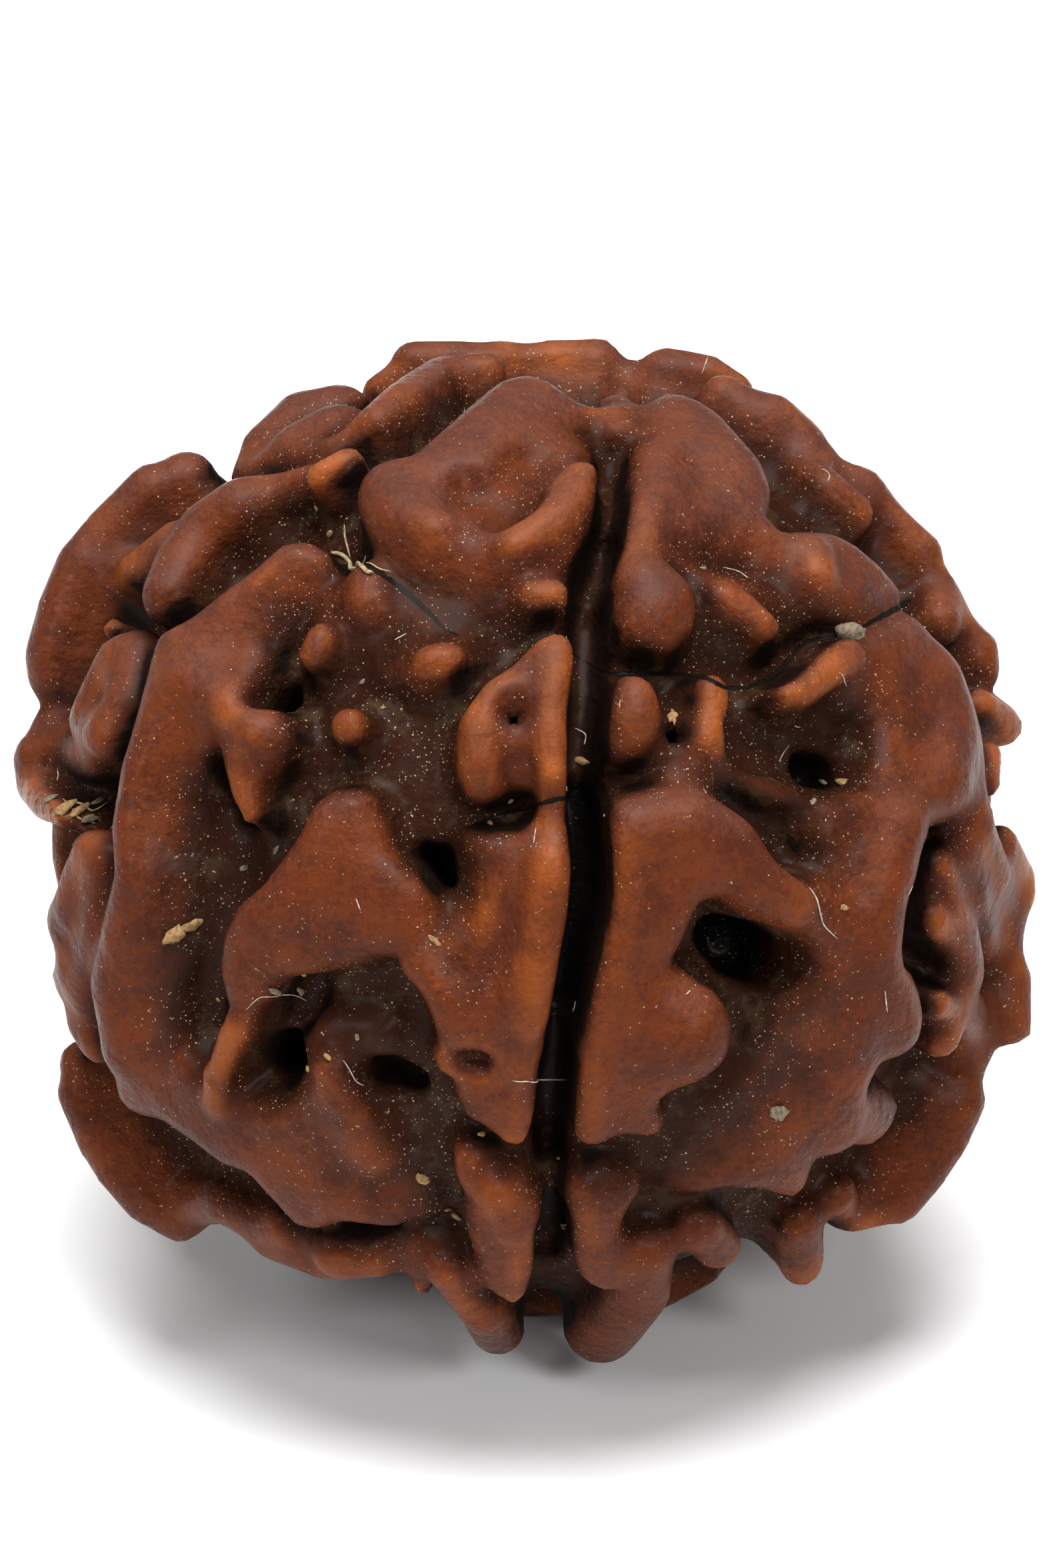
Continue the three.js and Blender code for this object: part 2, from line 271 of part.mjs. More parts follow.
// Hollows: depth of the bottom below the valley floor, then points [across, up, half width] of the mouth
const SUNK = [
  // Front furrow, from the dip between the crown lobes down to the lower edge
  [-1.2, [[2.4, 10.2, 0.3], [2.33, 9.7, 0.3]]],
  [-0.7, [[2.3, 9.3, 0.28], [2.28, 8.9, 0.3]]],
  [0.2, [[2.25, 8.55, 0.32], [2.15, 8.0, 0.38], [1.9, 7.4, 0.4]]],
  [0.5, [[1.8, 6.6, 0.42], [1.75, 5.5, 0.4], [1.75, 4.5, 0.42], [1.6, 3.3, 0.42], [1.6, 2.2, 0.42]]],
  [1.3, [[1.65, 1.6, 0.42], [1.7, 0.6, 0.45], [1.75, -0.5, 0.45], [1.68, -1.5, 0.45], [1.45, -2.5, 0.42],
    [1.25, -3.5, 0.4], [1.05, -4.5, 0.4]]],
  [0.8, [[0.95, -5.5, 0.4], [0.85, -6.5, 0.4], [0.75, -7.5, 0.4], [0.75, -8.5, 0.38]]],
  [0.8, [[0.78, -9.6, 0.38], [0.75, -10.6, 0.4], [0.6, -11.6, 0.45]]],
  // Crown: the dish of the left lobe and the faint valley of the right one
  [-1.0, [[-1.2, 9.0, 0.8], [-0.5, 8.9, 0.8], [0.3, 9.9, 0.7]]],
  [-0.95, [[-0.6, 8.5, 0.5], [-0.1, 8.8, 0.5]]],
  [-1.35, [[4.3, 9.8, 0.7], [4.5, 8.8, 0.7]]],
  // Hollow at the upper pole and the holes of the limb
  [0.2, [[1.4, 11.95, 0.4], [2.6, 11.8, 0.4]]],
  [0.6, [[6.75, 9.0, 0.35], [7.4, 8.6, 0.3]]],
  [1.2, [[-11.2, 1.25, 0.5]]],
  // Left face
  [1.4, [[-6.8, 4.0, 0.32], [-6.65, 4.4, 0.28]]],
  [1.3, [[-8.1, 2.4, 0.24], [-8.0, 1.8, 0.32], [-7.9, 1.1, 0.28]]],
  [0.3, [[-7.9, 0.4, 0.5], [-7.9, -0.6, 0.5]]],
  [1.6, [[-2.85, 0.0, 0.2], [-2.4, -0.25, 0.34], [-2.15, -0.8, 0.26]]],
  [0.4, [[-5.9, -3.8, 0.4], [-6.2, -4.6, 0.4]]],
  [1.8, [[-6.6, -5.6, 0.42], [-6.75, -6.0, 0.44]]],
  [0.7, [[-8.2, -3.9, 0.35], [-8.2, -5.0, 0.3]]],
  [0.9, [[-3.9, -6.2, 0.42], [-3.1, -6.6, 0.34]]],
  [-0.4, [[-0.9, 0.95, 0.16], [-0.2, 1.1, 0.18], [0.2, 1.25, 0.16]]],
  [-1.0, [[-1.5, -5.25, 0.18], [-1.0, -5.3, 0.2]]],
  [-0.7, [[-0.2, 3.38, 0.15]]],
  [-1.5, [[-0.2, 3.5, 0.45]]],
  [-1.3, [[-0.1, 2.0, 0.28]]],
  // Right face
  [2.2, [[5.6, -2.4, 0.5], [6.2, -2.75, 0.72], [6.8, -3.05, 0.65]]],
  [-0.1, [[4.8, -2.1, 0.4], [5.1, -2.9, 0.4]]],
  [1.3, [[8.2, 2.45, 0.4], [8.75, 2.3, 0.42]]],
  [0.2, [[5.7, 3.2, 0.5], [6.6, 2.8, 0.5]]],
  [0.3, [[4.05, 3.1, 0.2]]],
  [0.2, [[9.95, -1.5, 0.22], [9.8, -2.6, 0.3]]],
  [0.6, [[8.95, -5.8, 0.24]]],
  [0.5, [[9.75, -6.9, 0.35]]],
];

// Smooth helpers: the softened smaller and larger of two distances
function softMin(first, second, softness) {
  const near = Math.max(softness - Math.abs(first - second), 0) / softness;
  return Math.min(first, second) - (near * near * softness) / 4;
}

function softMax(first, second, softness) {
  return -softMin(-first, -second, softness);
}

// A repeatable stream of numbers between 0 and 1
function numberStream(seed) {
  let state = seed >>> 0;
  return () => {
    state = (Math.imul(state, 1664525) + 1013904223) >>> 0;
    return state / 4294967296;
  };
}

// Carries a chart point along the line of sight to a given distance from the stone's middle.
// Where the line misses that sphere, the point is the line's nearest to the middle.
function onBody(across, up, radius) {
  const eye = new THREE.Vector3(0, CHART_EYE_UP, CHART_DISTANCE);
  const sight = new THREE.Vector3(across, up, 0).sub(eye).normalize();
  const nearest = -eye.dot(sight);
  const room = nearest * nearest - eye.lengthSq() + radius * radius;
  return eye.addScaledVector(sight, nearest - Math.sqrt(Math.max(room, 0)));
}

// Carries a chart point along the line of sight to a given depth behind the outline
function behindEdge(across, up, depth) {
  const stretch = (CHART_DISTANCE + depth) / CHART_DISTANCE;
  return new THREE.Vector3(across * stretch, CHART_EYE_UP + (up - CHART_EYE_UP) * stretch, -depth);
}

// Angle round the poles, height towards the upper pole and distance from the middle
const SIDE = new THREE.Vector3().crossVectors(POLE, new THREE.Vector3(0, 0, 1)).normalize();
const FRONT = new THREE.Vector3().crossVectors(SIDE, POLE).normalize();

function toPolar(point) {
  return {
    angle: THREE.MathUtils.radToDeg(Math.atan2(point.dot(SIDE), point.dot(FRONT))),
    lean: Math.asin(point.dot(POLE) / point.length()),
    radius: point.length(),
  };
}

function fromPolar(angle, lean, radius) {
  const turn = THREE.MathUtils.degToRad(angle);
  return new THREE.Vector3()
    .addScaledVector(SIDE, Math.sin(turn) * Math.cos(lean))
    .addScaledVector(FRONT, Math.cos(turn) * Math.cos(lean))
    .addScaledVector(POLE, Math.sin(lean))
    .multiplyScalar(radius);
}

// Chains of the charted relief, each a list of { place, width }
function raisedChain([height, points]) {
  return points.map(([across, up, width]) => ({
    place: onBody(across, up, FLOOR_RADIUS + height - width),
    width,
  }));
}

function behindChain([depth, points]) {
  return points.map(([across, up, width]) => ({ place: behindEdge(across, up, depth), width }));
}

// A hollow's mouth as a chain, and how far its bottom lies from the middle
function sunkChain([depth, points]) {
  const mouth = FLOOR_RADIUS + MOUTH_HEIGHT;
  return {
    chain: points.map(([across, up, width]) => ({ place: onBody(across, up, mouth), width })),
    bottom: FLOOR_RADIUS - depth,
  };
}

// The corners of a charted plate as places on its top
function chartedPlate([rounding, corners]) {
  return {
    rounding,
    corners: corners.map(([across, up, height]) => onBody(across, up, FLOOR_RADIUS + height)),
  };
}

// A place of one face set in another, upright or upside down, with a little wander
function movedPlace(place, face, draw) {
  const { from, to, upsideDown } = face;
  const { angle, lean, radius } = toPolar(place);
  const across = (draw() - 0.5) * 2 * HIDDEN_WANDER;
  const along = (draw() - 0.5) * 2 * HIDDEN_WANDER;
  const inside = angle > from[0] && angle < from[1];
  const share = THREE.MathUtils.clamp((angle - from[0]) / (from[1] - from[0]), 0.03, 0.97);
  const step = share * (to[1] - to[0]);
  const newAngle = upsideDown ? to[1] - step : to[0] + step;
  const wander = THREE.MathUtils.radToDeg(across / FLOOR_RADIUS);
  const newLean = (upsideDown ? -lean : lean) + along / FLOOR_RADIUS;
  return { moved: fromPolar(newAngle + wander, newLean, radius), inside };
}

// A face's chain, copied between two other furrows, as the runs of it that come to lie hidden
function copyChain(chain, face, draw) {
  const copies = [];
  let run = [];
  for (const { place, width } of chain) {
    const { moved, inside } = movedPlace(place, face, draw);
    const change = 1 + (draw() - 0.5) * 2 * HIDDEN_WIDTH_CHANGE;
    if (inside && moved.z < -HIDDEN_FROM) {
      run.push({ place: moved, width: width * change });
    } else {
      if (run.length > 0) copies.push(run);
      run = [];
    }
  }
  if (run.length > 0) copies.push(run);
  return copies;
}

// A face's plate, copied between two other furrows. A corner that would come to the charted
// side is held at the border of the hidden side.
function copyPlate({ rounding, corners }, face, draw) {
  let hidden = 0;
  let own = 0;
  const held = corners.map((place) => {
    const { moved, inside } = movedPlace(place, face, draw);
    if (inside) own += 1;
    if (moved.z < -HIDDEN_FROM) {
      hidden += 1;
      return moved;
    }
    const away = Math.sqrt(moved.lengthSq() - HIDDEN_FROM ** 2) / Math.hypot(moved.x, moved.y);
    return moved.set(moved.x * away, moved.y * away, -HIDDEN_FROM);
  });
  return hidden > 1 && own > corners.length / 2 ? [{ rounding, corners: held }] : [];
}

// A hidden furrow from pole to pole that wavers a little
function furrowChain(angle) {
  const chain = [];
  for (let lean = -70; lean < 64; lean += 7) {
    const waver = 1.6 * Math.sin(lean * 0.11 + angle) + 1.1 * Math.sin(lean * 0.23 + 2 * angle);
    const place = fromPolar(
      angle + waver,
      THREE.MathUtils.degToRad(lean),
      FLOOR_RADIUS + MOUTH_HEIGHT,
    );
    if (place.z < 0) chain.push({ place, width: FURROW_HALF_WIDTH });
  }
  return { chain, bottom: FLOOR_RADIUS - FURROW_DEPTH };
}

// The low boss straight under the stone's middle
function footChain() {
  const elevation = THREE.MathUtils.degToRad(CHART_ELEVATION);
  const down = new THREE.Vector3(0, -Math.cos(elevation), -Math.sin(elevation));
  const radius = FLOOR_RADIUS + FOOT_HEIGHT - FOOT_HALF_WIDTH;
  return [{ place: down.multiplyScalar(radius), width: FOOT_HALF_WIDTH }];
}

// A chain as capsules, with the reach that decides where it matters. A ridge has a stem under
// it, a share of its width, and a hollow has a bottom.
function toLinks(chain, stemShare, bottom) {
  const links = [];
  for (let index = 0; index < Math.max(chain.length - 1, 1); index += 1) {
    const start = chain[index];
    const end = chain[Math.min(index + 1, chain.length - 1)];
    const span = end.place.clone().sub(start.place);
    const middle = start.place.clone().add(end.place).multiplyScalar(0.5);
    const reach = span.length() / 2 + Math.max(start.width, end.width) + 1.8;
    links.push({
      start: start.place,
      startRadius: start.place.length(),
      span,
      lengthSq: Math.max(span.lengthSq(), 1e-9),
      startWidth: start.width,
      widthGain: end.width - start.width,
      stemShare,
      bottom,
      direction: middle.normalize(),
      leastDot: Math.cos(reach / FLOOR_RADIUS),
    });
  }
  return links;
}

// Distance from a point to a link. Below its crest a ridge goes straight down as a stem and
// spreads a little. A hollow goes straight up from its bottom.
function linkDistance(point, radius, link) {
  const { start, span } = link;
  const scale = link.startRadius / radius;
  const along =
    (point.x * scale - start.x) * span.x +
    (point.y * scale - start.y) * span.y +
    (point.z * scale - start.z) * span.z;
  const share = Math.min(Math.max(along / link.lengthSq, 0), 1);
  const nearX = start.x + share * span.x;
  const nearY = start.y + share * span.y;
  const nearZ = start.z + share * span.z;
  const crest = Math.sqrt(nearX * nearX + nearY * nearY + nearZ * nearZ);
  const width = link.startWidth + share * link.widthGain;
  const away = (fit) => {
    const awayX = point.x - nearX * fit;
    const awayY = point.y - nearY * fit;
    const awayZ = point.z - nearZ * fit;
    return Math.sqrt(awayX * awayX + awayY * awayY + awayZ * awayZ);
  };
  if (link.bottom > 0) return away(Math.max(radius, link.bottom + width) / crest) - width;
  const spread = Math.min(Math.max(crest - radius, 0) * FLANK_SPREAD, WIDEST_FOOT);
  const stem = away(Math.min(radius / crest, 1)) - width * link.stemShare - spread;
  return Math.min(away(1) - width, stem);
}

function chainDistance(point, radius, links) {
  let least = Infinity;
  for (const link of links) least = Math.min(least, linkDistance(point, radius, link));
  return least;
}

// A plate with its rim brought to one level, and that rim as seen flat from the plate's middle
function toPlate({ rounding, corners }) {
  const tops = corners.map((corner) => corner.length());
  const level = tops.reduce((sum, top) => sum + top, 0) / tops.length;
  const rim = corners.map((corner) => corner.clone().setLength(level));
  const middle = corners.reduce((sum, corner) => sum.add(corner), new THREE.Vector3()).normalize();
  const side = new THREE.Vector3(0.3, 1, 0.2);
  side.crossVectors(middle, side).normalize();
  const otherSide = new THREE.Vector3().crossVectors(middle, side);
  const flat = rim.map((corner) => {
    const facing = corner.dot(middle);
    return [corner.dot(side) / facing, corner.dot(otherSide) / facing];
  });
  const widest = Math.max(...rim.map((corner) => corner.angleTo(middle)));
  const leastDot = Math.cos(widest + 1.8 / FLOOR_RADIUS);
  return { rounding, tops, level, rim, middle, side, otherSide, flat, leastDot };
}

// How far outside a plate's rim a direction passes, below zero inside it, and how high the
// plate's top is there, taken from the nearest corners
function plateEdge(direction, plate) {
  const { rim, flat, tops } = plate;
  const spot = direction.clone().multiplyScalar(plate.level);
  const facing = Math.max(spot.dot(plate.middle), 0.1);
  const across = spot.dot(plate.side) / facing;
  const up = spot.dot(plate.otherSide) / facing;
  const nearest = new THREE.Vector3();
  const edge = new THREE.Line3();
  let gap = Infinity;
  let inside = false;
  let weights = 0;
  let heights = 0;
  for (let index = 0; index < rim.length; index += 1) {
    const next = (index + 1) % rim.length;
    edge.set(rim[index], rim[next]).closestPointToPoint(spot, true, nearest);
    gap = Math.min(gap, nearest.distanceTo(spot));
    const weight = 1 / (rim[index].distanceToSquared(spot) + HEIGHT_BLUR) ** 2;
    weights += weight;
    heights += weight * tops[index];
    const [startAcross, startUp] = flat[index];
    const [endAcross, endUp] = flat[next];
    if (startUp > up !== endUp > up) {
      const crossing = startAcross + ((up - startUp) * (endAcross - startAcross)) / (endUp - startUp);
      if (across < crossing) inside = !inside;
    }
  }
  return { out: inside ? -gap : gap, top: heights / weights, rounding: plate.rounding };
}

// Distance to a plate whose edge runs straight down and whose shoulder is rounded
function plateDistance(radius, { out, top, rounding }) {
  const spread = Math.min(Math.max(top - radius, 0) * FLANK_SPREAD, WIDEST_FOOT);
  const beside = out + rounding - spread;
  const above = radius - top + rounding;
  const corner = Math.hypot(Math.max(beside, 0), Math.max(above, 0));
  return Math.min(Math.max(beside, above), 0) + corner - rounding;
}

// The valley floor, raised and lowered in slow waves
function floorRadius(direction) {
  const wave =
    Math.sin(5.1 * direction.x + 2.3 * direction.y + 1.0) +
    Math.sin(6.7 * direction.y - 3.1 * direction.z + 2.0) +
    Math.sin(5.9 * direction.z + 4.3 * direction.x + 4.0);
  return FLOOR_RADIUS + (FLOOR_UNEVENNESS * wave) / 2;
}

// Distance to the whole stone at one radius along a direction, below zero inside it
function stoneDistance(direction, radius, floor, edges, relief) {
  const point = { x: direction.x * radius, y: direction.y * radius, z: direction.z * radius };
  let distance = radius - floor;
  for (const edge of edges) {
    distance = softMin(distance, plateDistance(radius, edge), JOIN_SOFTNESS);
  }
  for (const links of relief.ridges) {
    distance = softMin(distance, chainDistance(point, radius, links), JOIN_SOFTNESS);
  }
  for (const links of relief.hollows) {
    distance = softMax(distance, -chainDistance(point, radius, links), CUT_SOFTNESS);
  }
  for (const links of relief.feet) {
    distance = softMin(distance, chainDistance(point, radius, links), JOIN_SOFTNESS);
  }
  return distance;
}

// Plates and chains that matter along one direction from the middle
function nearDirection({ plates, ridges, hollows, feet }, direction) {
  const matters = (each) => each.direction.dot(direction) > each.leastDot;
  const nearChains = (chains) =>
    chains.map((links) => links.filter(matters)).filter((links) => links.length > 0);
  return {
    plates: plates.filter((plate) => plate.middle.dot(direction) > plate.leastDot),
    ridges: nearChains(ridges),
    hollows: nearChains(hollows),
    feet: nearChains(feet),
  };
}

// Outermost surface point along one direction
function surfaceRadius(direction, relief) {
  const floor = floorRadius(direction);
  const edges = relief.plates.map((plate) => plateEdge(direction, plate));
  const at = (radius) => stoneDistance(direction, radius, floor, edges, relief);
  let outer = SEARCH_FROM;
  while (at(outer - SEARCH_STEP) > 0) outer -= SEARCH_STEP;
  let inner = outer - SEARCH_STEP;
  for (let halving = 0; halving < SEARCH_HALVINGS; halving += 1) {
    const middle = (outer + inner) / 2;
    if (at(middle) > 0) outer = middle;
    else inner = middle;
  }
  return (outer + inner) / 2;
}

// Surface height at a corner, averaged with a ring of points round it
function averagedRadius(direction, wholeRelief) {
  const relief = nearDirection(wholeRelief, direction);
  const aside = new THREE.Vector3(direction.z, direction.x, direction.y).cross(direction).normalize();
  let total = surfaceRadius(direction, relief);
  for (let place = 0; place < AVERAGED_AT; place += 1) {
    const step = aside.clone().applyAxisAngle(direction, (2 * Math.PI * place) / AVERAGED_AT);
    step.multiplyScalar(AVERAGED_OVER / FLOOR_RADIUS).add(direction).normalize();
    total += surfaceRadius(step, relief);
  }
  return total / (AVERAGED_AT + 1);
}

// All the relief: charted faces, copied faces and furrows
function gatherRelief() {
  const draw = numberStream(SEED);
  const chartedPlates = PLATES.map(chartedPlate);
  const chartedRidges = RAISED.map(raisedChain);
  const chartedHollows = SUNK.map(sunkChain);
  const lobes = LOBES.map(raisedChain).concat(BEHIND_EDGE.map(behindChain));
  const [left, front, right, backRight, backLeft] = FURROW_ANGLES;
  const faces = [
    { from: [front, right], to: [right, backRight], upsideDown: true },
    { from: [left, front], to: [backRight, backLeft], upsideDown: true },
    { from: [front, right], to: [backLeft, left + 360], upsideDown: false },
  ];
  const plates = chartedPlates.slice();
  const ridges = chartedRidges.slice();
  const hollows = chartedHollows.slice();
  for (const face of faces) {
    for (const plate of chartedPlates) plates.push(...copyPlate(plate, face, draw));
    for (const chain of chartedRidges) ridges.push(...copyChain(chain, face, draw));
    for (const { chain, bottom } of chartedHollows) {
      for (const copy of copyChain(chain, face, draw)) hollows.push({ chain: copy, bottom });
    }
  }
  hollows.push(furrowChain(backRight), furrowChain(backLeft));
  return {
    plates: plates.map(toPlate),
    ridges: ridges
      .map((chain) => toLinks(chain, STEM_SHARE, 0))
      .concat(lobes.map((chain) => toLinks(chain, LOBE_STEM_SHARE, 0))),
    hollows: hollows.map(({ chain, bottom }) => toLinks(chain, 0, bottom)),
    feet: [toLinks(footChain(), STEM_SHARE, 0)],
  };
}

// Chart directions set upright: the chart looks down at its elevation
function standUp(point) {
  const elevation = THREE.MathUtils.degToRad(CHART_ELEVATION);
  const back = point.y * Math.sin(elevation) - point.z * Math.cos(elevation);
  const high = point.y * Math.cos(elevation) + point.z * Math.sin(elevation);
  return point.set(point.x + CENTRE_ACROSS, back + CENTRE_BACK, high + CENTRE_HEIGHT);
}

// The stone as one closed faceted surface
function makeRelief() {
  const relief = gatherRelief();
  const sphere = new THREE.IcosahedronGeometry(1, SPHERE_DETAIL);
  sphere.deleteAttribute("normal");
  sphere.deleteAttribute("uv");
  const geometry = mergeVertices(sphere);
  const position = geometry.getAttribute("position");
  const vertex = new THREE.Vector3();
  for (let index = 0; index < position.count; index += 1) {
    vertex.fromBufferAttribute(position, index).normalize();
    vertex.multiplyScalar(averagedRadius(vertex, relief));
    standUp(vertex);
    position.setXYZ(index, vertex.x, vertex.y, vertex.z);
  }
  return geometry;
}

const wasm = await Module();
wasm.setup();

function toSolid(geometry) {
  return new wasm.Manifold(
    new wasm.Mesh({
      numProp: 3,
      vertProperties: new Float32Array(geometry.getAttribute("position").array),
      triVerts: new Uint32Array(geometry.index.array),
    }),
  );
}

function toGeometry(solid) {
  const mesh = solid.getMesh();
  const geometry = new THREE.BufferGeometry();
  geometry.setAttribute("position", new THREE.BufferAttribute(mesh.vertProperties, 3));
  geometry.setIndex(new THREE.BufferAttribute(mesh.triVerts, 1));
  geometry.computeVertexNormals();
  return geometry;
}

// The small flat spot that the stone rests on: all below the surface is cut away
function cutRestingSpot(geometry) {
  const side = 4 * FLOOR_RADIUS;
  const below = new THREE.BoxGeometry(side, side, side);
  below.translate(0, 0, -side / 2);
  below.deleteAttribute("normal");
  below.deleteAttribute("uv");
  return toGeometry(toSolid(geometry).subtract(toSolid(mergeVertices(below))));
}

const stone = new THREE.Mesh(
  cutRestingSpot(makeRelief()),
  new THREE.MeshStandardMaterial({ color: 0x7a3b22, roughness: 0.45, metalness: 0 }),
);
stone.name = "rudraksha_seed";

const part = new THREE.Group();
part.add(stone);
export default part;
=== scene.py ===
import math

import bpy
import numpy as np
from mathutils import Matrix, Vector


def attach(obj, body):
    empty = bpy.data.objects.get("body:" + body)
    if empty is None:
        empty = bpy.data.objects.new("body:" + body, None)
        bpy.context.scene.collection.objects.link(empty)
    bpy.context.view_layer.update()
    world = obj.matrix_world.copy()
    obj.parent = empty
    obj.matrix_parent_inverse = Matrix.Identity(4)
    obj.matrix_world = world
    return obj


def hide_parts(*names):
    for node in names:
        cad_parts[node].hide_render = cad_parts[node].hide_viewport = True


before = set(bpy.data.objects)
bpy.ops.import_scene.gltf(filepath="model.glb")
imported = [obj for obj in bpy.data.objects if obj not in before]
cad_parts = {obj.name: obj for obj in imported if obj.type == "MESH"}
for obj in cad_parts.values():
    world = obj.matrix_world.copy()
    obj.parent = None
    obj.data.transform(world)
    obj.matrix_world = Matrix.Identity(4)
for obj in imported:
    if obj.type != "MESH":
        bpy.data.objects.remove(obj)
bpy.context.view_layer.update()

# Sizes and places of the stone, in millimetres and degrees, are those of the part's source

# The valley floor and its slow waves: quickness along x, y and z, and start
FLOOR_RADIUS = 10.8
FLOOR_UNEVENNESS = 0.16
FLOOR_WAVES = [[5.1, 2.3, 0, 1.0], [0, 6.7, -3.1, 2.0], [4.3, 0, 5.9, 4.0]]

# The stone's middle in the frame
CENTRE_ACROSS = -0.04
CENTRE_BACK = 0.26
CENTRE_HEIGHT = 12.35

# Where the eye of the chart is: its distance, its elevation, and how far over the middle it aims
CHART_DISTANCE = 300
CHART_ELEVATION = 28
CHART_EYE_UP = 1.7
TILT_SIN = math.sin(math.radians(CHART_ELEVATION))
TILT_COS = math.cos(math.radians(CHART_ELEVATION))

# Flanks of the relief, how softly forms join and cut, and how wide a plate's heights mix
STEM_SHARE = 0.96
LOBE_STEM_SHARE = 0.85
FLANK_SPREAD = 0.16
WIDEST_FOOT = 0.35
JOIN_SOFTNESS = 0.6
CUT_SOFTNESS = 0.35
HEIGHT_BLUR = 0.25
LEAST_FACING = 0.1
PLATE_ASIDE = [0.3, 1, 0.2]

# Furrows: angles round the poles, then the size and the wavering of the hidden ones, whose
# wavers are [size in degrees, quickness along the lean, quickness along the angle]
FURROW_ANGLES = [-63, 7.5, 83, 152, 226]
FURROW_HALF_WIDTH = 0.42
FURROW_DEPTH = 1.0
FURROW_LEANS = range(-70, 64, 7)
FURROW_WAVERS = [[1.6, 0.11, 1], [1.1, 0.23, 2]]
MOUTH_HEIGHT = 1.5

# Hidden faces start this far behind the outline, and vary from the charted ones by this much
HIDDEN_FROM = 2.3
HIDDEN_WANDER = 0.3
HIDDEN_WIDTH_CHANGE = 0.18
FACE_MARGIN = 0.03
SEED = 20417

# The low boss under the stone, where the flat spot it rests on is
FOOT_HEIGHT = 2.25
FOOT_HALF_WIDTH = 3.0

# The grid: its cell and half side, how far round a form it is filled, and what stands for far
CELL = 0.215
HALF_SIDE = 14.0
FORM_REACH = 2.4
FAR_OFF = 9.0
FAR_OFF_SQUARED = 99.0
MILLIMETRE = 0.001

